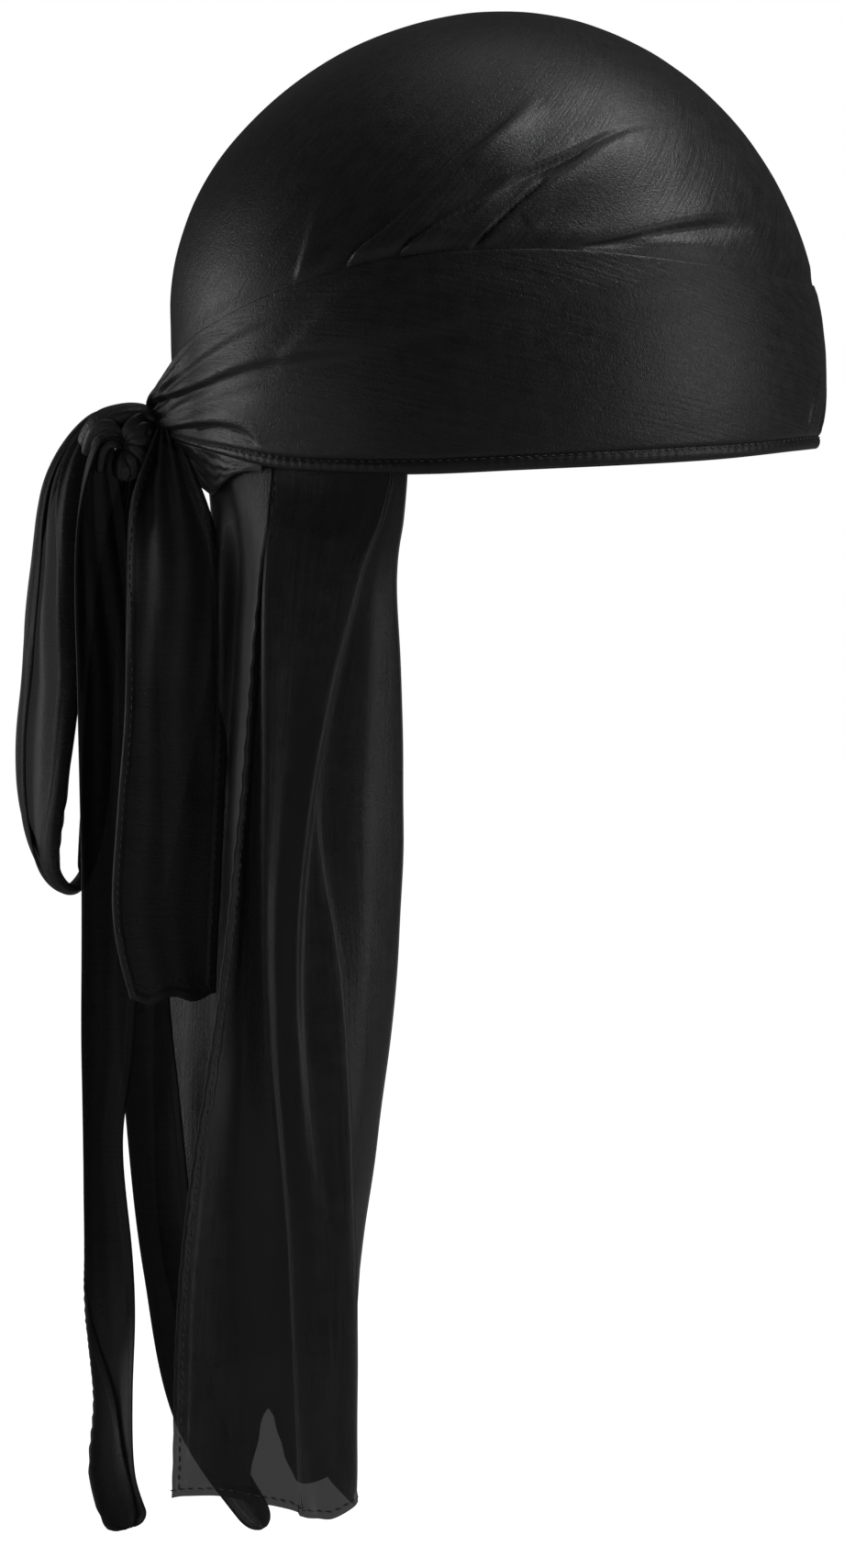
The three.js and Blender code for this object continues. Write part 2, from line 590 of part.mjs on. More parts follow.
// Cape. A row is one fold line that runs down the cloth, from the free edge on the wearer's right
// round the back to the free edge on the left. turn is where its head lies inside the crown, in
// degrees from the forehead and positive to the left, and layer counts the cloths outside it there.
// The other columns are its places at the neck, middle, low and foot of the cape: x is a share of
// the back reach, y of the half breadth, and drop is the foot's share of the cape's drop.
const CAPE_LEVELS = { neck: 0.13, middle: 0.48, low: 0.75 };
const foldLine = (turn, layer, neck, middle, low, foot, drop) => (
  { turn, layer, neck, middle, low, foot, drop }
);
const CAPE_ROWS = [
  foldLine(-137, 0, [-0.72, -0.76], [-0.82, -0.82], [-0.97, -0.84], [-0.965, -0.86], 0.985),
  foldLine(-135, 0, [-0.71, -0.78], [-0.76, -0.78], [-0.85, -0.8], [-0.84, -0.8], 0.985),
  foldLine(-131, 0, [-0.67, -0.84], [-0.7, -0.92], [-0.65, -0.94], [-0.66, -0.92], 0.995),
  foldLine(-124, 0, [-0.58, -0.86], [-0.6, -0.84], [-0.56, -0.82], [-0.56, -0.8], 1),
  foldLine(-117, 0, [-0.5, -0.9], [-0.48, -0.92], [-0.435, -0.9], [-0.46, -0.88], 1.005),
  foldLine(-113, 1, [-0.52, -0.82], [-0.58, -0.76], [-0.52, -0.74], [-0.56, -0.7], 0.94),
  foldLine(-111, 1, [-0.42, -0.8], [-0.4, -0.74], [-0.48, -0.64], [-0.52, -0.6], 0.9),
  foldLine(-110, 2, [-0.34, -0.78], [-0.34, -0.66], [-0.49, -0.54], [-0.54, -0.5], 0.885),
  foldLine(-117, 2, [-0.44, -0.72], [-0.46, -0.58], [-0.55, -0.46], [-0.58, -0.42], 0.88),
  foldLine(-134, 1, [-0.66, -0.6], [-0.7, -0.44], [-0.72, -0.36], [-0.7, -0.32], 0.875),
  foldLine(-152, 0, [-0.78, -0.36], [-0.84, -0.22], [-0.82, -0.14], [-0.78, -0.1], 0.875),
  foldLine(-168, 0, [-0.84, -0.16], [-0.85, 0.0], [-0.84, 0.06], [-0.8, 0.1], 0.88),
  foldLine(-184, 0, [-0.86, 0.06], [-0.95, 0.16], [-0.95, 0.2], [-0.88, 0.22], 0.885),
  foldLine(-196, 0, [-0.83, 0.24], [-1.04, 0.32], [-1.02, 0.36], [-0.92, 0.38], 0.89),
  foldLine(-208, 0, [-0.77, 0.42], [-0.94, 0.46], [-0.94, 0.5], [-0.86, 0.52], 0.89),
  foldLine(-222, 0, [-0.68, 0.62], [-0.76, 0.58], [-0.77, 0.6], [-0.74, 0.6], 0.89),
  foldLine(-238, 1, [-0.5, 0.74], [-0.56, 0.72], [-0.6, 0.74], [-0.6, 0.72], 0.895),
  foldLine(-250, 1, [-0.35, 0.8], [-0.37, 0.76], [-0.48, 0.76], [-0.52, 0.74], 0.9),
  foldLine(-247, 0, [-0.39, 0.86], [-0.41, 0.86], [-0.51, 0.86], [-0.54, 0.84], 0.905),
  foldLine(-236, 0, [-0.54, 0.86], [-0.58, 0.88], [-0.64, 0.9], [-0.65, 0.88], 0.905),
  foldLine(-226, 0, [-0.68, 0.76], [-0.76, 0.8], [-0.8, 0.84], [-0.8, 0.84], 0.905),
];

function capeStations(row) {
  const angle = row.turn * DEGREE;
  const hem = hemHeight(angle);
  const inset = UNDER_BAND + CLOTH + GAP + CLOTH / 2 + row.layer * (CLOTH + GAP);
  const out = headNormal(angle, hem).setZ(0).normalize();
  const edge = headAt(angle, hem);
  const place = ([x, y], drop) => ({ x: BACK_REACH * x, y: HALF_BREADTH * y, z: -CAPE_DROP * drop });
  const under = (depth) => {
    const inwards = inset + napeInset(row.turn, Math.max(0, depth));
    return { x: edge.x - out.x * inwards, y: edge.y - out.y * inwards, z: hem - depth };
  };
  return [
    under(-BINDING_HEIGHT - CAPE_LAP),
    under(0),
    under(TUCK_DROP + GAP),
    place(row.neck, CAPE_LEVELS.neck),
    place(row.middle, CAPE_LEVELS.middle),
    place(row.low, CAPE_LEVELS.low),
    place(row.foot, row.drop),
  ];
}

const capeLines = CAPE_ROWS.map(capeStations);
const CAPE_KNOTS = [0, 0.05, 0.1, 0.19, 0.5, 0.75, 1];

function capePoint(u, v) {
  let level = 0;
  while (level < CAPE_KNOTS.length - 2 && v > CAPE_KNOTS[level + 1]) level += 1;
  const t = (level + (v - CAPE_KNOTS[level]) / (CAPE_KNOTS[level + 1] - CAPE_KNOTS[level]))
    / (CAPE_KNOTS.length - 1);
  const read = (column) => {
    const section = capeLines.map((line) => ({ value: smoothColumn(line, column, t) }));
    return smoothColumn(section, 'value', u);
  };
  return new THREE.Vector3(read('x'), read('y'), read('z'));
}

const capeSteps = (CAPE_ROWS.length - 1) * CAPE_STEPS_PER_FOLD;

// Finishes, in the colours of black satin
const satin = { color: 0x111113, roughness: 0.42, metalness: 0 };
const finish = (values) => new THREE.MeshStandardMaterial({ ...satin, ...values });

function piece(name, geometry, values = {}) {
  const mesh = new THREE.Mesh(geometry, finish(values));
  mesh.name = name;
  return mesh;
}

const group = new THREE.Group();
group.name = 'durag';
const strapSizes = {
  loop: { drop: LOOP_DROP, width: LOOP_WIDTH, steps: LOOP_STEPS },
  short: { drop: SHORT_TAIL_DROP, width: SHORT_TAIL_WIDTH, steps: SHORT_TAIL_STEPS },
  long: { drop: LONG_TAIL_DROP, width: LONG_TAIL_WIDTH, steps: LONG_TAIL_STEPS },
  under: { drop: UNDER_TAIL_DROP, width: UNDER_TAIL_WIDTH, steps: UNDER_TAIL_STEPS },
};
const clearOfKnot = (geometry) => cut(geometry, knotRoom, wrapRoom);
const tuckAlong = steps(TUCK_STEPS.along);
const tuckAcross = steps(TUCK_STEPS.across);

group.add(
  piece('crown', crownGeometry),
  piece('tie_band_right', clearOfKnot(rightBand)),
  piece('tie_band_left', clearOfKnot(leftBand)),
  piece('edge_binding', clearOfKnot(bindingSolid()), { roughness: 0.5 }),
  piece('nape_tuck', clothSolid(tuckPoint, tuckAlong, tuckAcross, CLOTH)),
  piece('knot_core', knotGeometry),
  piece('knot_wrap', wrapGeometry),
  piece('bow_loop', clearOfKnot(strapSolid(LOOP_ROWS, strapSizes.loop))),
  piece('short_tail', clearOfKnot(strapSolid(SHORT_TAIL_ROWS, strapSizes.short))),
  piece('long_tail', clearOfKnot(strapSolid(LONG_TAIL_ROWS, strapSizes.long))),
  piece('under_tail', clearOfKnot(strapSolid(UNDER_TAIL_ROWS, strapSizes.under))),
  piece('cape', clothSolid(capePoint, steps(capeSteps), steps(CAPE_RINGS), CLOTH)),
);

export default group;
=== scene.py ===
# %% [markdown]
# # A satin durag, worn and tied at the back
#
# The imported model gives the frame: where each piece sits and how large the whole is. Every cloth
# here is made again over that frame, thinner and with its folds, hems and stitches. The box of the
# imported model is measured and printed.

# %% The frame
import math

import bpy
import numpy as np
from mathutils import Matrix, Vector


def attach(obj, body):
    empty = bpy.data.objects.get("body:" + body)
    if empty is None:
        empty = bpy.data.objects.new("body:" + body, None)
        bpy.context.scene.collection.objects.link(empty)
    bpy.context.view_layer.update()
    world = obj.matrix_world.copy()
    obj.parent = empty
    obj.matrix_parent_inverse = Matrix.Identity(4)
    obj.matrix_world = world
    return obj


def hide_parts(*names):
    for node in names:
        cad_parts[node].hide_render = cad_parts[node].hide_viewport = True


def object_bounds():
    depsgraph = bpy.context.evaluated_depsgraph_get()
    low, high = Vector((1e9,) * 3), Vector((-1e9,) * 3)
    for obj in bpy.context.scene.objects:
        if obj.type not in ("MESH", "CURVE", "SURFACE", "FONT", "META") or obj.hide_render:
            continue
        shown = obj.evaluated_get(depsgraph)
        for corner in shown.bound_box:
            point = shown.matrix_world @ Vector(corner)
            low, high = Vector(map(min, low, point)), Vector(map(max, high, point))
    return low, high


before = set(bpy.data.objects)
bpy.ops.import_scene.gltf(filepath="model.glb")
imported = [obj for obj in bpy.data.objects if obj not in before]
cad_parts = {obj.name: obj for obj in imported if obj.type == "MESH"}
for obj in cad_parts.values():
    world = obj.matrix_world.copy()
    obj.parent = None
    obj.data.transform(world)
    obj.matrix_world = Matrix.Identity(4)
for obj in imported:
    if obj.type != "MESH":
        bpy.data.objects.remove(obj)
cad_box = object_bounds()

box_text = [[round(float(v), 4) for v in corner] for corner in cad_box]
print("frame:", len(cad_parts), "nodes, box", box_text)

# %% [markdown]
# ## Curves and tables
#
# Most shapes below are read from short tables, with a smooth line drawn through the rows. Lengths
# are in millimetres until a mesh is made, because a durag is easier to think about that way.

# %% Helpers for tables
MM = 0.001
RIPPLE_WAVES, RIPPLE_SHARE, RIPPLE_LENGTHS = 6, 4.0, (0.7, 1.6)


def mix(a, b, t):
    return a + (b - a) * t


def ease(t):
    t = np.clip(t, 0.0, 1.0)
    return t * t * (3.0 - 2.0 * t)


def bump_curve(t):
    return np.exp(-np.square(t))


def through(values, t):
    """Smooth line through evenly spaced rows, read at t from 0 to 1."""
    values = np.asarray(values, float)
    t = np.clip(np.asarray(t, float), 0.0, 1.0) * (len(values) - 1)
    i = np.minimum(t.astype(int), len(values) - 2)
    s = (t - i).reshape(t.shape + (1,) * (values.ndim - 1))
    row = lambda k: values[np.clip(k, 0, len(values) - 1)]
    a, b, c, d = row(i - 1), row(i), row(i + 1), row(i + 2)
    slope_b, slope_c, rise = (c - a) / 2, (d - b) / 2, c - b
    bend, twist = 3 * rise - 2 * slope_b - slope_c, slope_b + slope_c - 2 * rise
    return b + s * slope_b + s**2 * bend + s**3 * twist


def through_places(places, values, at):
    """Smooth line through rows that stand at uneven places."""
    places, values = np.asarray(places, float), np.asarray(values, float)
    slopes = np.gradient(values, places)
    slopes[0] = slopes[-1] = 0.0
    at = np.clip(at, places[0], places[-1])
    i = np.clip(np.searchsorted(places, at) - 1, 0, len(places) - 2)
    step = places[i + 1] - places[i]
    s = (at - places[i]) / step
    a, b, da, db = values[i], values[i + 1], slopes[i] * step, slopes[i + 1] * step
    return a + s * da + s**2 * (3 * (b - a) - 2 * da - db) + s**3 * (da + db - 2 * (b - a))


def table(columns, rows):
    """Columns by name, from rows of numbers."""
    return dict(zip(columns.split(), np.array(rows, float).T))


def ripple(seed, x, y, length):
    """Gentle uneven waves, about one length long, between -1 and 1."""
    rng = np.random.default_rng(seed)
    total = np.zeros(np.broadcast(x, y).shape)
    for _ in range(RIPPLE_WAVES):
        way = rng.uniform(0, 2 * math.pi)
        wave = length * rng.uniform(*RIPPLE_LENGTHS)
        phase = rng.uniform(0, 2 * math.pi)
        total = total + np.sin(2 * math.pi * (x * math.cos(way) + y * math.sin(way)) / wave + phase)
    return total / RIPPLE_SHARE


# %% [markdown]
# ## The form that the wrap takes
#
# A durag has no stiffness of its own, and keeps the form that it is worn in: an egg-shaped plan
# under a dome, fuller at the front than at the back. A point on this form is named by its turn
# round from the front and its height, and every layer is the same form moved a little outwards.

# %% Sizes
FRONT_REACH, BACK_REACH, HALF_BREADTH, CROWN_HEIGHT = 91.7, 94.0, 76.0, 124.5
FRONT_SHOULDER, BACK_SHOULDER = 20.0, 40.0
CLOTH, GAP = 1.2, 0.4
OUTER, LAYER = 0.35, 0.6
BINDING_HEIGHT, BINDING_THICKNESS = 4.6, 2.6
BAND_WIDTH = 50.0
KNOT_STANDOFF, KNOT_RISE = 9.0, 3.5
TAIL_SWING = 40.0
TUCK_TURN, TUCK_DROP = 138.0, 12.0
CAPE_DROP, CAPE_LAP = 292.0, 6.0
EGG, NAPE_TAPER, NAPE_LEAN = 0.05, 0.03, 0.42
FULL_BACK, FULL_FRONT, FULL_SIDES = 1.92, 2.02, 0.28
NORMAL_STEP, NORMAL_TURN = 0.5, 0.01
KNOT_CENTRE = np.array([-BACK_REACH - KNOT_STANDOFF, 0.0, KNOT_RISE])

# turn is in degrees from the front. hem and top are shares of the crown's height and of the
# tie's width.
EDGE = table(
    "turn hem top",
    [
        (0, 0.011, 0.92), (18, 0.007, 0.935), (48, -0.014, 1.06), (87, -0.036, 1.195),
        (103, -0.045, 1.19), (115, -0.046, 1.14), (130, -0.04, 1.0), (146, -0.018, 0.79),
        (164, 0.006, 0.54), (172, 0.022, 0.34), (180, 0.026, 0.2),
    ],
)


# %% The worn form
def turn_of(angle):
    return np.degrees(np.abs(np.arctan2(np.sin(angle), np.cos(angle))))


def hem_height(angle):
    return CROWN_HEIGHT * through_places(EDGE["turn"], EDGE["hem"], turn_of(angle))


def band_top(angle):
    width = through_places(EDGE["turn"], EDGE["top"], turn_of(angle))
    return hem_height(angle) + BAND_WIDTH * width


def shoulder(angle):
    return mix(BACK_SHOULDER, FRONT_SHOULDER, (1 + np.cos(angle)) / 2)


def fullness(angle):
    return mix(FULL_BACK, FULL_FRONT, (1 + np.cos(angle)) / 2) + FULL_SIDES * np.sin(angle) ** 2


def form_at(angle, height):
    base, n = shoulder(angle), fullness(angle)
    above = np.clip((height - base) / (CROWN_HEIGHT - base), 0.0, 1.0)
    below = np.maximum(0.0, (base - height) / base)
    share = np.where(height > base, (1 - above**n) ** (1 / n), 1 - NAPE_TAPER * below**2)
    reach = np.where(np.cos(angle) > 0, FRONT_REACH, BACK_REACH)
    x = reach * np.cos(angle) * share
    y = HALF_BREADTH * np.sin(angle) * (1 - EGG * np.cos(angle)) * share
    return np.stack(np.broadcast_arrays(x, y, height), -1)


def unit(v):
    return v / np.maximum(np.linalg.norm(v, axis=-1, keepdims=True), 1e-9)


def form_normal(angle, height):
    level = np.minimum(height, CROWN_HEIGHT - 2 * NORMAL_STEP)
    along = form_at(angle, level + NORMAL_STEP) - form_at(angle, level - NORMAL_STEP)
    round_ = form_at(angle + NORMAL_TURN, height) - form_at(angle - NORMAL_TURN, height)
    return unit(np.cross(round_, along))


def on_form(angle, height, offset):
    return form_at(angle, height) + form_normal(angle, height) * np.asarray(offset)[..., None]


print("the hem goes from", round(float(hem_height(0.0)), 1), "mm at the front to",
      round(float(hem_height(math.radians(110))), 1), "mm at the side")

# %% [markdown]
# ## Folds pulled into the cloth
#
# Satin that is pulled towards the knot rises in long folds. Each fold follows a line of places on
# the form. One side of it falls away softly and the other drops sharply into a crease, which is
# what makes the dark line and the bright edge. A table gives each line, its height and its widths.

# %% Fold tables
# turn (degrees) and height (mm) place the line. lift and soft are the height and width of its
# upper side, dip and wide the depth and width of its lower side, and sharp is half the width of
# the crease between them. Below zero, the upper side sinks and the lower side rises.
FOLD_COLUMNS = "turn height lift soft dip wide sharp"
FOLD_STATIONS, FOLD_FADE = 48, 3.0
CROWN_FOLDS = [table(FOLD_COLUMNS, rows) for rows in (
    [
        (128.8, 41, 0.7, 1.2, -0.7, 5, 0.3), (127.4, 47, 0.8, 1.2, -0.8, 5, 0.3),
        (126.3, 54, 0.6, 1.3, -0.6, 5, 0.4), (125.2, 63, 0.3, 1.6, -0.3, 5, 0.6),
        (124, 72, 0, 2, 0, 5, 0.8),
    ],
    [
        (121.2, 44.5, -0.9, 1.4, -1.7, 8, 0.25), (116.4, 54, -1, 1.4, -1.7, 9, 0.25),
        (111.8, 60.1, -0.9, 1.4, -1.6, 9, 0.25), (106.7, 66.4, 0.2, 1.8, -1.7, 8, 0.3),
        (100.1, 75.7, 1.6, 1.7, -2.1, 6, 0.4), (94.8, 82, 2.3, 1.7, -2.6, 6, 0.4),
        (90.4, 87.4, 1.9, 1.7, -2.1, 6, 0.5), (86, 92.8, 1, 1.8, -1, 6, 0.6),
        (82.4, 97.3, 0, 2, 0, 6, 0.8),
    ],
    [
        (114, 47.2, -0.9, 1.4, -1.7, 7, 0.25), (108.6, 53.8, -1, 1.4, -1.7, 7, 0.25),
        (101.5, 62, -0.6, 2.4, -1.1, 7, 0.3), (94.4, 68.3, -0.3, 3.4, -0.6, 5, 0.35),
        (88.2, 74.7, 0.7, 6, 0.7, 3.4, 0.6), (83.1, 78.2, 0.8, 7, 1.3, 2.6, 0.7),
        (76.7, 82.1, 0.6, 7, 1.2, 2.4, 0.7), (69.3, 86.7, 0.3, 7, 0.7, 2.4, 0.8),
        (61, 89.7, 0.1, 7, 0.2, 3, 0.9), (51, 90.5, 0, 7, 0, 4, 0.9),
    ],
    [
        (88, 66.5, 0.4, 1.6, -0.4, 7, 0.5), (82.5, 72, 0.9, 1.6, -0.9, 9, 0.5),
        (76.5, 77.5, 1.2, 1.8, -1.2, 10, 0.6), (70, 83.2, 1.2, 2, -1.2, 10, 0.8),
        (62, 87.2, 0.8, 2.4, -0.8, 10, 1), (52.5, 88.6, 0.3, 3, -0.3, 9, 1.2),
        (44, 88.8, 0, 3, 0, 8, 1.4),
    ],
    [
        (98.8, 51, 0.3, 3, 1.3, 0.9, 0.22), (94.3, 58.2, 0.3, 3, 1.7, 0.8, 0.22),
        (88.9, 66.3, 0.3, 3, 1.8, 0.8, 0.22), (84.6, 71.8, 0.3, 3, 1.6, 0.8, 0.22),
        (82.8, 74, 0, 3, 0.4, 0.8, 0.3),
    ],
    [
        (96.9, 51.6, 0.4, 0.9, -0.4, 2.4, 0.4), (91.9, 59.2, 0.7, 0.9, -0.7, 2.8, 0.4),
        (86.3, 67.2, 0.7, 0.9, -0.7, 3.2, 0.4), (79.5, 74, 0.4, 1.6, -0.4, 4, 0.7),
        (71, 79.6, 0, 3, 0, 5, 1),
    ],
    [
        (89, 52, 0.5, 5, 0.7, 4, 0.4), (78.2, 55.8, 0.7, 6, 1.3, 4, 0.5),
        (68.9, 58.5, 0.6, 6, 0.7, 3, 0.5), (60, 61.2, 0.7, 6, 1.2, 3.4, 0.8),
        (50, 63.4, 0.8, 6, 1.8, 4, 1.2), (42.5, 64, 0.5, 6, 1.1, 4, 1.3),
        (35.5, 63.3, 0, 6, 0, 4, 1.4),
    ],
)]
BAND_FOLDS = [table(FOLD_COLUMNS, rows) for rows in (
    [
        (177, 13.5, 1.2, 4, 1.2, 3, 0.5), (173.5, 15.3, 1.3, 4, 1.3, 3, 0.5),
        (164, 16.8, 1.2, 5, 1.2, 4, 0.7), (154, 18.9, 0.9, 6, 1, 5, 0.9),
        (142.9, 22.4, 0.6, 6, 0.8, 6, 1.2), (132.8, 25.1, 0.4, 7, 0.5, 6, 1.4),
        (120.3, 26.8, 0.3, 7, 0.3, 7, 1.5), (108, 27.8, 0, 7, 0, 7, 1.5),
    ],
    [
        (177, 7.2, 1.3, 4, 1.2, 2.5, 0.6), (167.8, 7.4, 1.3, 5, 1.3, 2.6, 0.7),
        (160, 7.8, 1, 6, 1, 3, 1), (150, 8, 0.7, 6, 0.7, 4, 1.3),
        (143, 6.8, 0.5, 5, 0.6, 4, 1.4), (139.2, 4.2, 0.4, 4, 0.5, 3, 1.4),
        (138, 1.2, 0.1, 4, 0.1, 3, 1.4),
    ],
    [
        (116, 44, 0, 5, 0, 5, 2), (121, 40, 0.3, 7, 0.3, 6, 2.2),
        (127, 32, 0.3, 7, 0.4, 6, 2.4), (131, 26, 0.2, 7, 0.2, 6, 2.4),
        (134, 20, 0, 6, 0, 6, 2.4),
    ],
    [
        (176, 15, 0.7, 3, 0.6, 3, 0.9), (163.5, 21.5, 0.6, 4, 0.6, 3, 1),
        (148.2, 28.8, 0.4, 5, 0.4, 4, 1.4), (134, 35.6, 0.2, 5, 0.2, 5, 1.8),
        (120, 41, 0, 5, 0, 5, 1.8),
    ],
    [
        (176, 10.4, 0.4, 3, 0.4, 3, 0.8), (156.6, 13.7, 0.4, 4, 0.4, 4, 1.4),
        (141.8, 17.3, 0.3, 6, 0.3, 5, 1.8), (126.2, 20.4, 0, 6, 0, 6, 1.8),
    ],
    [
        (150, 21, 0, 8, 0, 6, 3), (118, 28, 0.5, 9, 0.2, 8, 3),
        (92, 37, 0.5, 9, 0.3, 8, 3), (66, 42.5, 0.3, 9, 0.2, 8, 3),
        (48, 42, 0, 9, 0, 8, 3),
    ],
    [
        (13, 23.6, 0, 3, 0, 2, 0.7), (17.6, 15.5, 0.5, 3, 0.5, 2, 0.7),
        (19.4, 9, 0.5, 3, 0.5, 2, 0.7), (18.4, 4, 0.2, 3, 0.2, 2, 0.7),
    ],
    [
        (2, 20, 0, 3, 0, 2, 0.7), (6, 12, 0.4, 3, 0.5, 2, 0.7),
        (8.6, 7, 0.4, 3, 0.4, 2, 0.7), (9, 4, 0.1, 3, 0.1, 2, 0.7),
    ],
)]


# %% How folds raise the cloth
def fold_lift(folds, points, mirrored):
    """How far the folds near it raise each point. mirrored puts them on the left side."""
    lift = np.zeros(points.shape[:-1])
    sign = 1.0 if mirrored else -1.0
    for fold in folds:
        stations = np.linspace(0, 1, FOLD_STATIONS)
        smooth = {key: through(column, stations) for key, column in fold.items()}
        angle = np.radians(sign * smooth["turn"])
        line, normal = form_at(angle, smooth["height"]), form_normal(angle, smooth["height"])
        along = np.diff(line, axis=0)
        best = np.full(points.shape[:-1], 1e9)
        place, away = np.zeros_like(best), np.zeros_like(best)
        for k, step in enumerate(along):
            to = points - line[k]
            t = np.clip((to @ step) / (step @ step), 0, 1)
            gap = to - t[..., None] * step
            distance = np.linalg.norm(gap, axis=-1)
            side = -sign * np.sign(gap @ np.cross(normal[k], step))
            closer = distance < best
            best = np.where(closer, distance, best)
            place = np.where(closer, k + t, place)
            away = np.where(closer, distance * side, away)
        at = {key: np.interp(place, np.arange(FOLD_STATIONS), smooth[key])
              for key in ("lift", "soft", "dip", "wide", "sharp")}
        past_end = (place <= 0) | (place >= len(along))
        beyond = bump_curve(np.where(past_end, best / FOLD_FADE, 0.0))
        over = ease(0.5 + away / (2 * at["sharp"]))
        raised = at["lift"] * bump_curve(away / at["soft"])
        sunk = at["dip"] * bump_curve(away / at["wide"])
        lift += beyond * (over * raised - (1 - over) * sunk)
    return lift


print(len(CROWN_FOLDS), "folds in the crown and", len(BAND_FOLDS), "in each tie")

# %% [markdown]
# ## A wall of cloth
#
# Each cloth is a closed wall: a grid of points on its middle surface, with a skin on each side.
# Blender's Solidify modifier could do this, but here the thickness changes: it is under half a
# millimetre in the cloth and swells to a small roll at a hem, so the wall is built directly. The
# grid also gives the UV map, in metres of cloth, which the weave will follow.

# %% Mesh maker
WALL = 0.45
pieces = {}


def grid_normals(grid, ring):
    if ring:
        du = np.roll(grid, -1, 1) - np.roll(grid, 1, 1)
    else:
        du = np.gradient(grid, axis=1)
    return unit(np.cross(du, np.gradient(grid, axis=0)))


def arc_lengths(grid):
    along = np.linalg.norm(np.diff(grid, axis=1), axis=-1)
    up = np.linalg.norm(np.diff(grid, axis=0), axis=-1)
    u = np.concatenate([[0.0], np.cumsum(along.mean(axis=0))])
    v = np.concatenate([[0.0], np.cumsum(up.mean(axis=1))])
    return u, v


def new_mesh(name, points, faces, uvs):
    mesh = bpy.data.meshes.new(name)
    mesh.from_pydata((np.asarray(points) * MM).tolist(), [], [list(f) for f in faces])
    layer = mesh.uv_layers.new(name="cloth")
    layer.data.foreach_set("uv", (np.asarray(uvs, float).reshape(-1, 2) * MM).ravel())
    mesh.polygons.foreach_set("use_smooth", [True] * len(mesh.polygons))
    mesh.update()
    pieces[name] = bpy.data.objects.new(name, mesh)
    bpy.context.scene.collection.objects.link(pieces[name])
    return pieces[name]


# %% Cloth maker
def cloth(name, grid, wall, ring=False, crest=False):
    """Closed wall round a grid of points (rows, columns, 3). wall is its thickness at each point.
    A ring closes on itself, and a crest draws the last row together into one point."""
    rows, cols = grid.shape[:2]
    normals = grid_normals(grid, ring)
    if crest:
        normals[-1] = (0, 0, 1)
    half = (np.broadcast_to(wall, (rows, cols)) / 2)[..., None] * normals
    points = np.concatenate([(grid + half).reshape(-1, 3), (grid - half).reshape(-1, 3)])
    skin = rows * cols
    across, up = arc_lengths(grid)
    if ring:
        across = np.append(across, 2 * across[-1] - across[-2])
    last = cols if ring else cols - 1
    faces, corners = [], []

    def add(spots, inner):
        faces.append([skin * deep + j * cols + i % cols for (i, j), deep in zip(spots, inner)])
        corners.extend((across[i], up[j]) for i, j in spots)

    outside, inside, edge = (0, 0, 0, 0), (1, 1, 1, 1), (0, 0, 1, 1)
    body_rows = rows - 2 if crest else rows - 1
    for j in range(body_rows):
        for i in range(last):
            add([(i, j), (i + 1, j), (i + 1, j + 1), (i, j + 1)], outside)
            add([(i, j), (i, j + 1), (i + 1, j + 1), (i + 1, j)], inside)
    for i in range(last):
        add([(i + 1, 0), (i, 0), (i, 0), (i + 1, 0)], edge)
        if not crest:
            add([(i, rows - 1), (i + 1, rows - 1), (i + 1, rows - 1), (i, rows - 1)], edge)
    if not ring:
        for j in range(rows - 1):
            add([(0, j), (0, j + 1), (0, j + 1), (0, j)], edge)
            add([(cols - 1, j + 1), (cols - 1, j), (cols - 1, j), (cols - 1, j + 1)], edge)
    if crest:
        top = (rows - 1) * cols
        for i in range(last):
            a, b = (rows - 2) * cols + i, (rows - 2) * cols + (i + 1) % cols
            faces.append([a, b, top])
            corners.extend([(across[i], up[-2]), (across[i + 1], up[-2]), (across[i], up[-1])])
            faces.append([skin + b, skin + a, skin + top])
            corners.extend([(across[i + 1], up[-2]), (across[i], up[-2]), (across[i], up[-1])])
        used = np.ones(2 * skin, bool)
        used[top + 1 : top + cols] = used[skin + top + 1 : skin + top + cols] = False
        renumber = np.cumsum(used) - 1
        points = points[used]
        faces = [[int(renumber[v]) for v in face] for face in faces]
    piece = new_mesh(name, points, faces, corners)
    size = sum(len(f) - 2 for f in faces)
    area = sum(p.area for p in piece.data.polygons) / 2
    print(f"{name}: {size} triangles, {across[-1]:.0f} by {up[-1]:.0f} mm, area {area:.4f} m2")


# %% Spacing and hems
CROWD_RAMP, CROWD_SAMPLES = 0.05, 2001
ROLL_RISE, ROLL_FALL, THIN_EDGE = 0.5, 0.8, 0.8


def crowded(count, edge):
    """Steps from 0 to 1 that stand closer together at both ends, where a hem rolls."""
    t = np.linspace(0, 1, count)
    return t - edge * np.sin(2 * math.pi * t) / (2 * math.pi)


def dense_between(count, first, last, factor, ring=False):
    """Steps from 0 to 1 that stand closer together, by the factor, between two places."""
    t = np.linspace(0, 1, CROWD_SAMPLES)
    density = 1 + (factor - 1) * ease((t - first) / CROWD_RAMP) * ease((last - t) / CROWD_RAMP)
    reach = np.concatenate([[0.0], np.cumsum((density[1:] + density[:-1]) / 2)])
    return np.interp(np.arange(count) / (count if ring else count - 1), reach / reach[-1], t)


def hem_wall(distance, roll=1.1, width=2.4, wall=WALL):
    """Wall thickness at a distance from a hemmed edge: a soft roll that closes at the very edge."""
    swell = ease(distance / ROLL_RISE) * ease((width + 0.7 - distance) / ROLL_FALL)
    return wall * THIN_EDGE + (roll - wall) * swell + 0.2 * wall * ease(distance - width)


# %% [markdown]
# ## The crown
#
# The crown is one smooth dome of satin. Under the ties it is pressed in by a layer's thickness,
# and it swells out again just above them. The columns stand closer together over the temples,
# where the folds are.

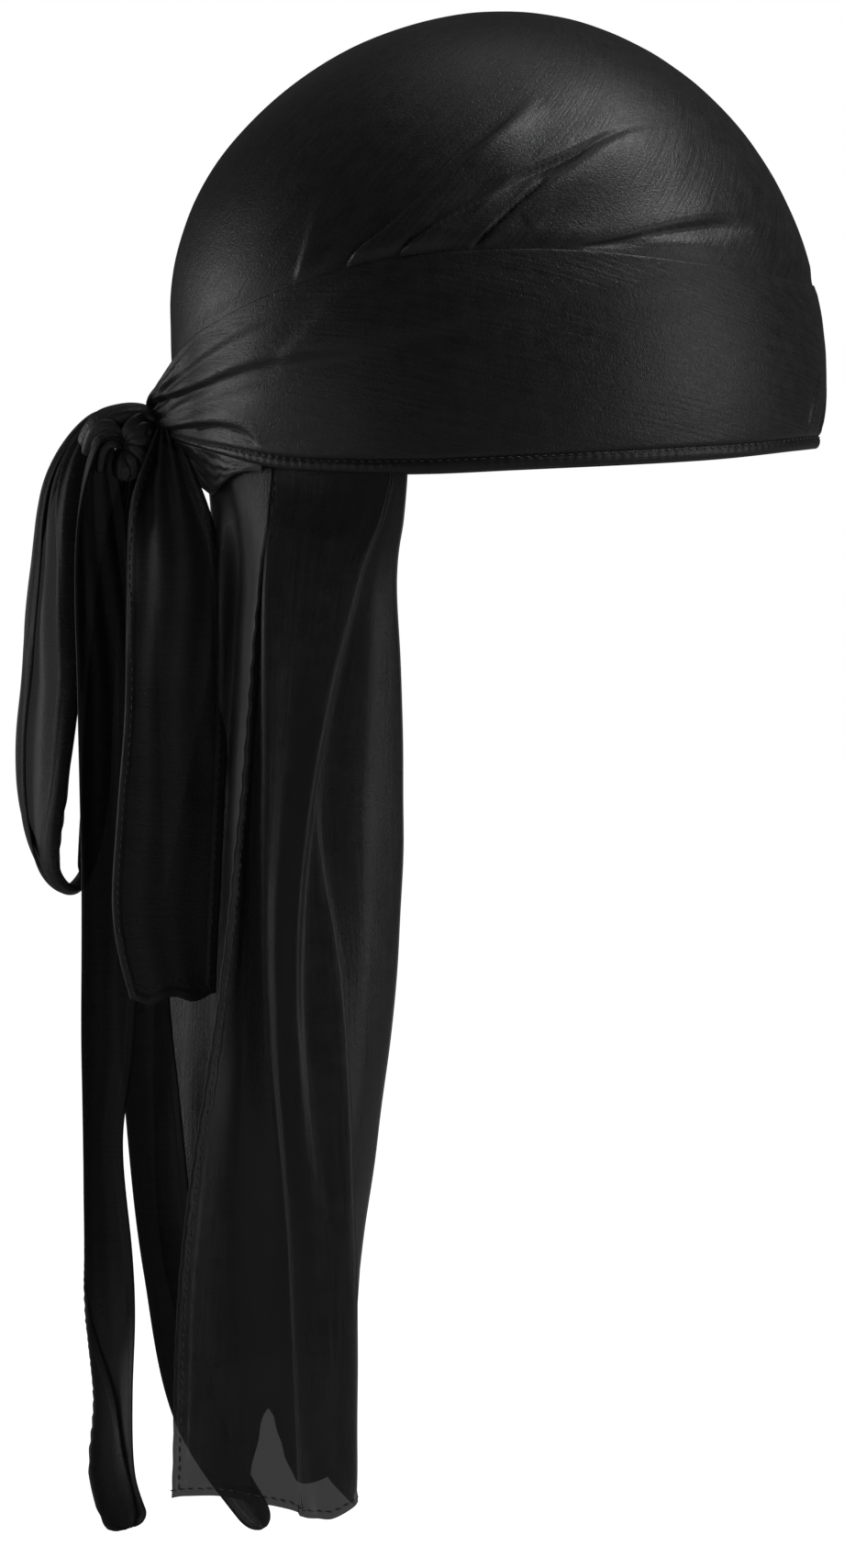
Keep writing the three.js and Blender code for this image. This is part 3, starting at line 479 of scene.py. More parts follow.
# %% Crown
PINCH_RUN, PINCH_MARGIN = 5.0, 0.9
CROWN_WALL, CROWN_PINCH = 0.2, 0.26
CROWN_COLUMNS, CROWN_ROWS = 436, (6, 10, 94)
TEMPLE_CROWD, FOLD_CROWD = (0.60, 0.93, 3.4), (-0.06, 0.6, 2.2)
FAR_FOLDS, FOLD_START, FOLD_REACH = 0.8, 0.3, 3.0
CROSSING_FROM, CROSSING_TO, CROSSING_PRESS = -14.0, 56.0, 0.3
CROWN_WAVE, CROWN_WRINKLE = 0.3, 0.07


def climb_of(angle, height):
    base = shoulder(angle)
    share = (height - base) / (CROWN_HEIGHT - base)
    return np.where(share > 0, np.arcsin(np.clip(share, 0, 1) ** (fullness(angle) / 2)), share)


def height_of(angle, climb):
    base = shoulder(angle)
    arc = np.sin(np.clip(climb, 0, math.pi / 2))
    share = np.where(climb > 0, arc ** (2 / fullness(angle)), climb)
    return base + (CROWN_HEIGHT - base) * share


def crown_grid():
    u = dense_between(CROWN_COLUMNS, *TEMPLE_CROWD, ring=True)
    low_rows = np.linspace(0, CROWN_WALL, CROWN_ROWS[0], endpoint=False)
    pinch_rows = np.linspace(CROWN_WALL, CROWN_PINCH, CROWN_ROWS[1], endpoint=False)
    free_rows = mix(CROWN_PINCH, 1.0, dense_between(CROWN_ROWS[2], *FOLD_CROWD))
    angle, v = np.meshgrid(2 * math.pi * u, np.concatenate([low_rows, pinch_rows, free_rows]))
    foot = hem_height(angle) + BINDING_HEIGHT + GAP
    low = band_top(angle) + PINCH_MARGIN
    free_from = climb_of(angle, low + PINCH_RUN)
    dome = height_of(angle, mix(free_from, math.pi / 2, (v - CROWN_PINCH) / (1 - CROWN_PINCH)))
    pinch = mix(low, low + PINCH_RUN, (v - CROWN_WALL) / (CROWN_PINCH - CROWN_WALL))
    wall = mix(foot, low, v / CROWN_WALL)
    height = np.where(v < CROWN_WALL, wall, np.where(v < CROWN_PINCH, pinch, dome))
    level = np.minimum(height, CROWN_HEIGHT - 0.01)
    free = ease((level - low) / PINCH_RUN)
    spot = form_at(angle, level)
    folds = fold_lift(CROWN_FOLDS, spot, False) + FAR_FOLDS * fold_lift(CROWN_FOLDS, spot, True)
    folds *= ease((level - band_top(angle) - FOLD_START) / FOLD_REACH)
    waves = CROWN_WAVE * ripple(3, spot[..., 0] + spot[..., 1], spot[..., 2], 70.0)
    waves += CROWN_WRINKLE * ripple(5, spot[..., 0] + 0.6 * spot[..., 1], spot[..., 2], 17.0)
    left_turn = np.degrees((angle + math.pi) % (2 * math.pi) - math.pi)
    both = ease((CROSSING_TO - left_turn) / 10.0) * ease((left_turn - CROSSING_FROM) / 8.0)
    pressed = LAYER * (1 + CROSSING_PRESS * both) * (1 - free)
    grid = on_form(angle, level, folds + free * waves - OUTER - pressed)
    grid[-1] = (0, 0, CROWN_HEIGHT - OUTER)
    return grid


cloth("crown_cloth", crown_grid(), WALL, ring=True, crest=True)

# %% [markdown]
# ## The two ties
#
# Each tie starts wide at the front and narrows towards the knot, where the cloth gathers. They are
# strips of the same form, one layer out from the crown. The right tie crosses over the left one
# at the front.

# %% Ties
BAND_END_TURN = 177.0
OVERLAP_FROM, OVERLAP_OVER = 54.0, 10.0
GATHER_FROM, GATHER_OVER, GATHER_PLEATS, GATHER_DEPTH = 152.0, 22.0, 4.2, 0.4
FOOT_TUCK, TOP_TUCK, FRONT_TURN = 0.9, 0.35, 50
BAND_WAVE, BAND_WRINKLE = 0.3, 0.06
STANDOFF_FROM, STANDOFF_OVER = 158.0, 26.0


def towards_knot(turn):
    """How far the ties stand off the form as they near the knot."""
    return KNOT_STANDOFF * ease((turn - STANDOFF_FROM) / STANDOFF_OVER)


def band_grid(side, last_turn, slant, under, columns, rows):
    """side is -1 for the right tie and 1 for the left, and under is 1 for the tie below."""
    u, v = np.meshgrid(np.linspace(0, 1, columns), crowded(rows, 0.8))
    turn = mix(BAND_END_TURN, last_turn + slant * (v - 0.5), u)
    angle = side * np.radians(turn)
    foot = hem_height(angle) + 0.55 * BINDING_HEIGHT
    top = band_top(angle)
    height = mix(foot, top, v)
    spot = form_at(angle, height)
    lift = fold_lift(BAND_FOLDS, spot, side > 0) * ease((turn + 40) / 30)
    gather = ease((turn - GATHER_FROM) / GATHER_OVER) * GATHER_DEPTH
    lift += gather * np.sin(2 * math.pi * (GATHER_PLEATS * v + 0.6 * np.sin(turn / 9.0)))
    lift += BAND_WAVE * ripple(11 + side, spot[..., 0], spot[..., 2], 60.0)
    lift += BAND_WRINKLE * ripple(15 + side, spot[..., 0], 2.0 * spot[..., 2], 16.0)
    lift *= ease(v * 9.0) * ease((1 - v) * 7.0) * 0.9 + 0.1
    sunk = under * LAYER * ease((OVERLAP_FROM - turn) / OVERLAP_OVER)
    tucked = FOOT_TUCK * (1 - ease((height - foot) / 2.4))
    tucked = tucked + TOP_TUCK * (1 - ease((top - height) / 3.0)) * ease((FRONT_TURN - turn) / 20)
    grid = on_form(angle, height, lift + towards_knot(turn) - OUTER - sunk - tucked)
    distance = np.minimum((1 - v) * (top - foot), np.abs(u - 1) * 400)
    return grid, hem_wall(distance, roll=0.6, width=1.2)


right_grid, right_wall = band_grid(
    side=-1, last_turn=-34.0, slant=16.0, under=0.0, columns=400, rows=66)
cloth("tie_band_right_cloth", right_grid, right_wall)
left_grid, left_wall = band_grid(
    side=1, last_turn=-4.0, slant=0.0, under=1.0, columns=300, rows=54)
cloth("tie_band_left_cloth", left_grid[:, ::-1], left_wall[:, ::-1])

# %% [markdown]
# ## The rolled hem and the turn at the nape
#
# The lower edge is a narrow rolled hem. Thread pulls it into tiny puckers, so its tube is not
# quite even. Under it at the nape, a narrow turn of gathered cloth closes the wrap.

# %% Tube maker
def tube(rings, uv_round=8.0):
    """Closed tube through rings of points (along, around, 3)."""
    along, around = rings.shape[:2]
    points = rings.reshape(-1, 3)
    steps = np.linalg.norm(np.diff(rings.mean(axis=1), axis=0), axis=-1)
    reach = np.concatenate([[0], np.cumsum(steps)])
    faces, corners = [], []
    for i in range(along - 1):
        for k in range(around):
            n = (k + 1) % around
            this, after = i * around, (i + 1) * around
            faces.append([this + k, after + k, after + n, this + n])
            a, b = uv_round * k / around, uv_round * (k + 1) / around
            corners.extend([(reach[i], a), (reach[i + 1], a), (reach[i + 1], b), (reach[i], b)])
    ends = [rings[0].mean(axis=0), rings[-1].mean(axis=0)]
    first, final = len(points), len(points) + 1
    points = np.concatenate([points, ends])
    for k in range(around):
        n = (k + 1) % around
        faces.append([first, k, n])
        corners.extend([(reach[0], 0)] * 3)
        base = (along - 1) * around
        faces.append([final, base + n, base + k])
        corners.extend([(reach[-1], 0)] * 3)
    return points, faces, corners


def solid_piece(name, parts):
    """One piece from several closed tubes."""
    points, faces, corners, shift = [], [], [], 0
    for p, f, c in parts:
        points.append(p)
        faces.extend([[v + shift for v in face] for face in f])
        corners.extend(c)
        shift += len(p)
    new_mesh(name, np.concatenate(points), faces, corners)
    print(f"{name}: {sum(len(f) - 2 for f in faces)} triangles")


# %% Binding
BINDING_END_TURN = 176.0
BINDING_RINGS, BINDING_AROUND = 900, 20
NARROW_SHARE, PUCKER_PITCH, PUCKER_DEPTH = 0.52, 2.7, 0.05
GROOVE_DEPTH, GROOVE_PLACE, GROOVE_WIDTH = 0.22, 0.42, 0.16


def binding_middle(turn):
    angle = np.radians(turn)
    middle = hem_height(angle) + BINDING_HEIGHT / 2
    out = form_normal(angle, middle) * np.array([1, 1, 0])
    return form_at(angle, middle), unit(out), 0.8 * towards_knot(np.abs(turn))


def binding_rings():
    turn = np.linspace(-BINDING_END_TURN, BINDING_END_TURN, BINDING_RINGS)
    spot, out, to_knot = binding_middle(turn)
    narrow = mix(1.0, NARROW_SHARE, ease((np.abs(turn) - 132) / 30))
    reach = np.cumsum(np.append(0, np.linalg.norm(np.diff(spot, axis=0), axis=-1)))
    pucker = 1 + PUCKER_DEPTH * np.sin(2 * math.pi * reach / PUCKER_PITCH)
    pucker = pucker + PUCKER_DEPTH * ripple(21, reach, 0 * reach, 9.0)
    rings = []
    for k in range(BINDING_AROUND):
        round_ = 2 * math.pi * (k + 0.5) / BINDING_AROUND
        side = math.cos(round_)
        near_groove = math.exp(-((math.sin(round_) - GROOVE_PLACE) / GROOVE_WIDTH) ** 2)
        groove = 1 - GROOVE_DEPTH * near_groove * (side > 0)
        depth = -BINDING_THICKNESS / 2 + to_knot + BINDING_THICKNESS / 2 * side * groove * pucker
        rise = BINDING_HEIGHT / 2 * math.sin(round_) * narrow
        point = spot + out * depth[:, None]
        point[:, 2] = spot[:, 2] + rise + (1 - narrow) * BINDING_HEIGHT * 0.2
        rings.append(point)
    return np.stack(rings, 1)


solid_piece("edge_binding_roll", [tube(binding_rings(), uv_round=13.0)])


# %% Nape tuck
TUCK_PLEATS, TUCK_PLEAT_DEPTH, TUCK_RIPPLE = 3.4, 0.12, 0.4


def nape_inset(turn, depth):
    nearness = (turn_of(np.radians(turn)) - TUCK_TURN) / (180 - TUCK_TURN)
    return NAPE_LEAN * depth * ease(nearness * 2)


def tuck_grid(columns=210, rows=28):
    u, v = np.meshgrid(np.linspace(0, 1, columns), np.linspace(0, 1, rows))
    turn = mix(-TUCK_TURN, TUCK_TURN - 360, u)
    angle = np.radians(turn)
    nearness = (turn_of(angle) - TUCK_TURN) / (180 - TUCK_TURN)
    depth = (1 - v) * (1 + (TUCK_DROP - 1) * ease(nearness * 1.5))
    spot = form_at(angle, hem_height(angle))
    out = unit(form_normal(angle, 0 * angle) * np.array([1, 1, 0]))
    behind = ease(nearness * 3)
    phase = turn / 11.0 + TUCK_PLEATS * v + 0.1 * np.sin(turn)
    pleats = TUCK_PLEAT_DEPTH * np.sin(2 * math.pi * phase) * ease(v * 3) * behind
    pleats += TUCK_RIPPLE * ripple(23, turn, 14 * v, 12.0) * behind * ease((1 - v) * 4)
    under = 0.8 * towards_knot(turn_of(angle)) * ease(2.2 * v - 1.2)
    offset = under - BINDING_THICKNESS / 2 - nape_inset(turn, depth) + pleats
    grid = spot + out * offset[..., None]
    grid[..., 2] = hem_height(angle) - GAP - depth + 2.0 * v**2
    return grid, hem_wall(v * TUCK_DROP * (0.05 + ease(nearness * 1.5)), roll=1.0, width=1.4)


cloth("nape_tuck_cloth", *tuck_grid())

# %% [markdown]
# ## The hanging ends
#
# The loop and the three ends are straps that leave the knot gathered and open out as they fall.
# Each is a path with a width, a facing and a curl at each station, as a ribbon is drawn. Pleats
# run down from the knot and fade.

# %% Strap tables
# back, side and drop place a station, as shares of the swing and of the whole drop. width and
# curl are shares of the strap's width, and turn is its facing, in degrees about its own path.
STRAP_COLUMNS = "back side drop width turn curl"
LOOP = table(STRAP_COLUMNS, [
    (0.05, 0.2, -0.02, 0.4, 0, 0.2), (0.3, 0.26, -0.035, 0.46, -10, 0.3),
    (0.54, 0.24, 0.09, 0.75, -30, 0.3), (0.62, 0.2, 0.29, 0.9, -42, 0.24),
    (0.66, 0.2, 0.52, 1, -45, 0.18), (0.72, 0.24, 0.78, 1, -35, 0.12),
    (0.66, 0.32, 0.95, 0.9, -12, 0.1), (0.47, 0.42, 0.99, 0.9, 0, 0.1),
    (0.34, 0.5, 0.85, 0.9, -10, 0.12), (0.28, 0.52, 0.55, 0.8, -12, 0.16),
    (0.2, 0.46, 0.25, 0.6, -8, 0.2), (0.04, 0.26, 0.01, 0.36, 0, 0.2),
])
SHORT_TAIL = table(STRAP_COLUMNS, [
    (-0.2, -0.3, -0.02, 0.14, 84, 0.1), (-0.22, -0.38, 0.04, 0.42, 86, 0.16),
    (-0.23, -0.44, 0.11, 0.69, 90, 0), (-0.26, -0.48, 0.2, 0.84, 92, -0.2),
    (-0.28, -0.49, 0.33, 0.9, 92, -0.14), (-0.28, -0.49, 0.5, 0.93, 92, -0.08),
    (-0.24, -0.49, 0.68, 0.97, 93, -0.06), (-0.21, -0.48, 0.85, 0.97, 94, -0.05),
    (-0.26, -0.48, 1, 0.78, 92, -0.08),
])
LONG_TAIL = table(STRAP_COLUMNS, [
    (0.02, -0.22, 0.002, 0.3, 10, 0.1), (0.24, -0.24, 0.004, 0.5, 24, 0.22),
    (0.28, -0.18, 0.08, 0.85, 50, 0.2), (0.22, -0.14, 0.24, 0.9, 65, 0.18),
    (0.2, -0.13, 0.4, 0.84, 70, 0.18), (0.23, -0.13, 0.55, 0.76, 66, 0.2),
    (0.27, -0.13, 0.645, 0.6, 60, 0.26), (0.22, -0.13, 0.75, 0.66, 76, 0.2),
    (0.16, -0.13, 0.87, 0.68, 126, 0.2), (0.17, -0.13, 0.95, 0.72, 118, 0.18),
    (0.06, -0.13, 1, 0.66, 110, 0.14),
])
UNDER_TAIL = table(STRAP_COLUMNS, [
    (-0.02, 0.2, 0.01, 0.4, 60, 0.2), (0.02, 0.26, 0.1, 0.6, 75, 0.2),
    (0, 0.27, 0.3, 0.7, 85, 0.18), (-0.02, 0.22, 0.5, 0.85, 88, 0.16),
    (-0.11, 0.12, 0.64, 0.93, 90, 0.16), (-0.22, 0, 0.77, 0.9, 84, 0.16),
    (-0.42, -0.4, 0.9, 0.76, 80, 0.14), (-0.9, -0.66, 1, 0.5, 80, 0.12),
])


# %% Strap maker
FLAT = [0] * 12
FLAP_EDGE, FLAP_LIFT, EDGE_SHARE = 0.12, 0.9, 0.3
FALL_FLOOR, STRAP_WAVE, PATH_STEP = 0.05, 0.25, 0.004


def strap_grid(rows, drop, width, columns, lines, pleats, seed, tip=0.0, flaps=(FLAT, FLAT),
               flap_side=1.0):
    """Ribbon surface (lines across, columns along). pleats is (count, depth in mm, fade). flaps is
    how far each side edge is folded back over the ribbon at each station, in half widths."""
    u = np.linspace(0, 1, columns)

    def spot_at(t):
        shares = (("back", -TAIL_SWING), ("side", TAIL_SWING), ("drop", -drop))
        return KNOT_CENTRE + np.stack([whole * through(rows[key], t) for key, whole in shares], -1)

    middle = spot_at(u)
    reach = np.concatenate([[0.0], np.cumsum(np.linalg.norm(np.diff(middle, axis=0), axis=-1))])
    ahead, behind = np.minimum(u + PATH_STEP, 1), np.maximum(u - PATH_STEP, 0)
    along = unit(spot_at(ahead) - spot_at(behind))
    sideways = unit(np.array([0.0, 1.0, 0.0]) - along * along[:, 1:2])
    turn = np.radians(through(rows["turn"], u))[:, None]
    sideways = sideways * np.cos(turn) + np.cross(along, sideways) * np.sin(turn)
    facing = np.cross(along, sideways)
    spread = width * through(rows["width"], u)
    if tip:
        nearness = np.clip((1 - u) / tip, 0.02, 1)
        spread = spread * np.sqrt(nearness * (2 - nearness))
    low_flap, high_flap = (through(flap, u)[:, None] for flap in flaps)
    walk = (2 + low_flap + high_flap) * crowded(lines, 0.6) - low_flap
    aa = np.where(walk < 0, -1 - walk, np.where(walk > 2, 3 - walk, walk - 1))
    over = ease(-walk / FLAP_EDGE) + ease((walk - 2) / FLAP_EDGE)
    far = np.broadcast_to(reach[:, None], aa.shape)
    curl = spread[:, None] * through(rows["curl"], u)[:, None] * (aa**2 - 0.4)
    count, depth, fade = pleats
    swing = 0.25 * ripple(seed, far, 0 * far, 90.0)
    fall = np.exp(-far / fade) + FALL_FLOOR
    folds = depth * fall * np.sin(math.pi * count * (aa + swing) + seed)
    folds = folds + STRAP_WAVE * ripple(seed + 1, far, aa * width / 2, 26.0)
    edge = np.minimum(1 - np.abs(aa), FLAP_EDGE) / FLAP_EDGE
    folds = folds * (EDGE_SHARE + (1 - EDGE_SHARE) * ease(edge)) + FLAP_LIFT * flap_side * over
    grid = middle[:, None] + sideways[:, None] * (aa * spread[:, None] / 2)[..., None]
    grid = grid + facing[:, None] * (curl + folds)[..., None]
    distance = np.minimum(walk + low_flap, 2 + high_flap - walk) * spread[:, None] / 2
    return np.swapaxes(grid, 0, 1), distance.T, far.T


# %% Flaps and hems of the straps
LOOP_FLAPS = (
    [0.7, 0.7, 0.7, 0.6, 0.45, 0.45, 0.7, 0.7, 0.7, 0.7, 0.7, 0.7],
    [0.9, 0.9, 0.9, 0.9, 0.75, 0.75, 0.9, 0.85, 0.85, 0.85, 0.85, 0.85],
)
LONG_FLAPS = ([0, 0, 0, 0, 0, 0, 0, 0, 0.1, 1.0, 1.7, 1.4], FLAT)
HEM_ROLL = dict(roll=1.2, width=2.3)
TIE_ROLL = dict(roll=1.0, width=1.8)

# %% The loop
loop_points, loop_edge, _ = strap_grid(
    LOOP, drop=127.0, width=25.0, columns=260, lines=68, pleats=(3.2, 1.3, 70.0), seed=31,
    flaps=LOOP_FLAPS, flap_side=-1.7)
cloth("bow_loop_cloth", loop_points, hem_wall(loop_edge, roll=0.9, width=1.6))

# %% The three ends
FOOT_WAVE, FOOT_WAVE_LENGTH = 0.9, 1.9


def hemmed(edge, reach):
    """Distance from the nearest hem: a side edge or the foot."""
    return np.minimum(edge, reach.max() - reach)


short_points, short_edge, short_reach = strap_grid(
    SHORT_TAIL, drop=157.0, width=31.0, columns=260, lines=60, pleats=(3.4, 1.5, 34.0), seed=37)
near_foot = ease((short_reach / short_reach.max() - 0.9) / 0.1)
short_points[..., 2] += FOOT_WAVE * near_foot * np.sin(short_points[..., 0] / FOOT_WAVE_LENGTH)
short_wall = hem_wall(hemmed(short_edge, short_reach), **HEM_ROLL)
cloth("short_tail_cloth", short_points, short_wall)

long_points, long_edge, long_reach = strap_grid(
    LONG_TAIL, drop=308.0, width=21.0, columns=360, lines=52, pleats=(2.8, 1.1, 60.0), seed=41,
    tip=0.035, flaps=LONG_FLAPS)
cloth("long_tail_cloth", long_points, hem_wall(hemmed(long_edge, long_reach), **TIE_ROLL))

under_points, under_edge, under_reach = strap_grid(
    UNDER_TAIL, drop=305.0, width=17.0, columns=320, lines=34, pleats=(2.4, 0.9, 60.0), seed=43,
    tip=0.035)
cloth("under_tail_cloth", under_points, hem_wall(hemmed(under_edge, under_reach), **TIE_ROLL))

# %% [markdown]
# ## The knot
#
# A tied satin knot is a handful of soft, pleated strands that turn round each other. Each strand
# is a tube with a lobed section along a short bent path. The wrap is the turn that crosses the
# others, and it shows as leaf-shaped folds that meet at the middle of the knot.

# %% Strands
def strand(path, radii, flat=0.75, lobes=4, lobe_depth=0.1, columns=46, around=32):
    """Closed, pleated tube through a path of points in mm, relative to the knot's middle."""
    t = np.linspace(0, 1, columns)
    line = KNOT_CENTRE + through(np.array(path, float), t)
    along = unit(np.gradient(line, axis=0))
    radius = through(np.array(radii, float), t) * np.sqrt(np.clip(1 - (2 * t - 1) ** 16, 0.02, 1))
    lean = np.array([0.0, 1.0, 0.0])
    sideways = unit(lean - along * (along @ lean)[:, None])
    upwards = np.cross(along, sideways)
    rings = []
    for k in range(around):
        a = 2 * math.pi * k / around
        lobe = 1 + lobe_depth * math.cos(lobes * a)
        lobe = lobe + lobe_depth * 0.5 * np.cos((lobes + 3) * a + 5 * t)
        reach = radius * lobe
        across, up = flat * reach * math.cos(a), reach * math.sin(a)
        rings.append(line + sideways * across[:, None] + upwards * up[:, None])
    return tube(np.stack(rings, 1))


def both_sides(path, radii, **values):
    """The strand on the near side, and a like one on the far side, a little different."""
    near = np.array(path, float)
    far = near * np.array([0.96, -1.0, 0.94]) + np.array([-0.3, 0.4, 0.3])
    return [strand(near, radii, **values), strand(far, [r * 0.96 for r in radii], **values)]


# %% Knot
ROPE, COIL = dict(flat=0.9, lobe_depth=0.06), dict(flat=0.8, lobes=3, lobe_depth=0.06)
LEAF = dict(flat=0.75, lobes=3, lobe_depth=0.05)
CORE_MIDDLE = [
    (
        [(5, -11, 0), (0, -8.5, 2), (-3, 0, 2.5), (0, 8.5, 2), (5, 11, 0)],
        [3.6, 5.2, 5.8, 5.2, 3.6],
    ),
    (
        [(5, -9, -3), (0, -7, -4), (-3, 0, -4.5), (0, 7, -4), (5, 9, -3)],
        [4, 5, 5.5, 5, 4],
    ),
    (
        [(-1, -5, -3), (-3, -5.5, -7), (-4.5, -5, -11)],
        [4.6, 4.4, 2.2],
    ),
]
CORE_SIDES = [
    (
        [(6, -9, 5.4), (1.5, -8.8, 7.4), (-4.5, -8.8, 7), (-10.5, -8.4, 4.4), (-15.5, -7, -1.5)],
        [1.8, 3, 3.4, 3.4, 2], ROPE,
    ),
    (
        [(-3.6, -9.8, -1), (-4.8, -11.4, 2.2), (-7.8, -11.8, 4.4),
         (-11.6, -10.8, 2.6), (-14.6, -8.8, -4)],
        [0.7, 1.5, 1.8, 1.9, 1.3], COIL,
    ),
    (
        [(-3.7, -10.2, -1.4), (-5.2, -12, 0.9), (-7.8, -12.4, 1.7),
         (-10.6, -11.2, -0.6), (-12.2, -9.2, -6.5)],
        [0.6, 1.3, 1.6, 1.7, 1.2], COIL,
    ),
    (
        [(-3.8, -10.6, -1.9), (-5.6, -12.2, -0.8), (-7.8, -12.2, -1),
         (-9.6, -11, -3.6), (-10.4, -9.2, -9)],
        [0.6, 1.2, 1.5, 1.6, 1.2], COIL,
    ),
]
WRAP_SIDES = [
    (
        [(-3.7, -10.4, -1.2), (-2.4, -12.6, 2.6), (0.4, -12, 5.8), (4, -8.6, 7.4)],
        [0.5, 1.7, 1.9, 1],
    ),
    (
        [(-3.6, -10.8, -1.4), (-1.2, -13, 1.4), (2.4, -12.4, 3.6), (5.6, -9.2, 3.2)],
        [0.5, 1.6, 1.9, 1],
    ),
    (
        [(-3.6, -11, -1.7), (-0.4, -13.4, 0), (3, -12.6, -0.2), (4.8, -9.8, -3.6)],
        [0.5, 1.6, 2, 1.2],
    ),
    (
        [(-3.6, -11, -2), (-0.8, -13.4, -1.8), (1.8, -12.8, -3.8), (1.8, -10.4, -8.2)],
        [0.5, 1.6, 2, 1.2],
    ),
    (
        [(-3.7, -10.8, -2.4), (-1.8, -12.8, -4.2), (-0.4, -12.4, -6.6), (-0.6, -10.2, -10.4)],
        [0.5, 1.5, 1.8, 1],
    ),
]
core_strands = [strand(path, radii, lobes=5) for path, radii in CORE_MIDDLE]
for path, radii, look in CORE_SIDES:
    core_strands += both_sides(path, radii, **look)
solid_piece("knot_core_strands", core_strands)
wrap_strands = []
for path, radii in WRAP_SIDES:
    wrap_strands += both_sides(path, radii, **LEAF)
solid_piece("knot_wrap_strands", wrap_strands)

# %% [markdown]
# ## The cape
#
# The cape hangs from inside the crown's back edge, in deep folds that overlap. Its shape is a set
# of fold lines, each with its places at the top, the middle, low down and at the foot, and a
# smooth surface is drawn through them.

# %% Cape
CAPE_LEVELS = (0.13, 0.32, 0.51, 0.76)
CAPE_KNOTS = np.array([0, 0.045, 0.09, 0.17, 0.35, 0.53, 0.77, 1])
CAPE_PLACES = ("top", "upper", "middle", "low", "foot")
CAPE_COLUMNS = "turn layer " + "".join(f"{level}_x {level}_y " for level in CAPE_PLACES) + "drop"
CAPE = table(CAPE_COLUMNS, [
  (-137, 0, -0.719, -0.842, -0.773, -0.849, -0.835, -0.868, -0.946, -0.868, -0.974, -0.868, 0.984),
  (-136.6, 0, -0.714, -0.832, -0.76, -0.829, -0.814, -0.842, -0.906, -0.849, -0.931, -0.855, 0.983),
  (-136.2, 0, -0.7, -0.803, -0.737, -0.783, -0.761, -0.796, -0.799, -0.829, -0.818, -0.842, 0.984),
  (-135.4, 0, -0.693, -0.862, -0.699, -0.868, -0.7, -0.875, -0.648, -0.892, -0.622, -0.886, 0.995),
  (-124, 0, -0.577, -0.872, -0.637, -0.86, -0.665, -0.864, -0.618, -0.886, -0.59, -0.878, 1.002),
  (-112, 0, -0.443, -0.875, -0.564, -0.88, -0.61, -0.88, -0.565, -0.884, -0.545, -0.872, 1.004),
  (-111.2, 0.4, -0.43, -0.845, -0.551, -0.836, -0.58, -0.852, -0.51, -0.874, -0.5, -0.864, 1.004),
  (-110.4, 0.6, -0.424, -0.826, -0.543, -0.822, -0.474, -0.842, -0.439, -0.855, -0.434, -0.842, 0.992),
  (-110.6, 1.2, -0.436, -0.803, -0.554, -0.789, -0.493, -0.796, -0.458, -0.803, -0.453, -0.803, 0.99),
  (-110.2, 1.4, -0.423, -0.783, -0.53, -0.763, -0.477, -0.763, -0.461, -0.763, -0.51, -0.75, 0.972),
  (-109.6, 1.6, -0.369, -0.763, -0.402, -0.737, -0.397, -0.711, -0.44, -0.684, -0.49, -0.658, 0.968),
  (-108.6, 2, -0.318, -0.7, -0.308, -0.618, -0.328, -0.579, -0.424, -0.553, -0.455, -0.526, 0.965),
  (-117, 2, -0.365, -0.64, -0.345, -0.56, -0.365, -0.51, -0.455, -0.47, -0.61, -0.42, 0.985),
  (-134, 1, -0.66, -0.6, -0.68, -0.5, -0.7, -0.43, -0.72, -0.36, -0.7, -0.32, 0.917),
  (-149, 0, -0.755, -0.44, -0.785, -0.39, -0.815, -0.33, -0.815, -0.23, -0.765, -0.14, 0.995),
  (-155, 0.5, -0.785, -0.31, -0.815, -0.25, -0.84, -0.17, -0.83, -0.1, -0.775, -0.05, 0.995),
  (-164, 0, -0.845, -0.29, -0.855, -0.2, -0.855, -0.12, -0.845, -0.02, -0.79, 0.04, 0.99),
  (-172, 0, -0.865, -0.08, -0.868, -0.01, -0.865, 0.05, -0.85, 0.1, -0.81, 0.12, 0.975),
  (-184, 0, -0.87, 0.06, -0.9, 0.12, -0.95, 0.16, -0.96, 0.2, -0.88, 0.22, 0.925),
  (-196, 0, -0.83, 0.24, -0.95, 0.29, -1.05, 0.32, -1.045, 0.36, -0.93, 0.38, 0.92),
  (-208, 0, -0.77, 0.42, -0.88, 0.44, -0.93, 0.46, -0.94, 0.5, -0.86, 0.52, 0.905),
  (-222, 0, -0.68, 0.62, -0.73, 0.6, -0.76, 0.58, -0.77, 0.6, -0.74, 0.6, 0.895),
  (-238, 1, -0.5, 0.74, -0.54, 0.73, -0.56, 0.72, -0.6, 0.74, -0.6, 0.72, 0.9),
  (-250, 1, -0.35, 0.8, -0.36, 0.78, -0.38, 0.76, -0.48, 0.76, -0.52, 0.74, 0.905),
  (-247, 0, -0.39, 0.86, -0.4, 0.86, -0.42, 0.86, -0.51, 0.86, -0.54, 0.84, 0.905),
  (-236, 0, -0.54, 0.86, -0.56, 0.87, -0.59, 0.88, -0.64, 0.9, -0.65, 0.88, 0.905),
  (-226, 0, -0.68, 0.76, -0.73, 0.78, -0.765, 0.8, -0.8, 0.84, -0.8, 0.84, 0.905),
])


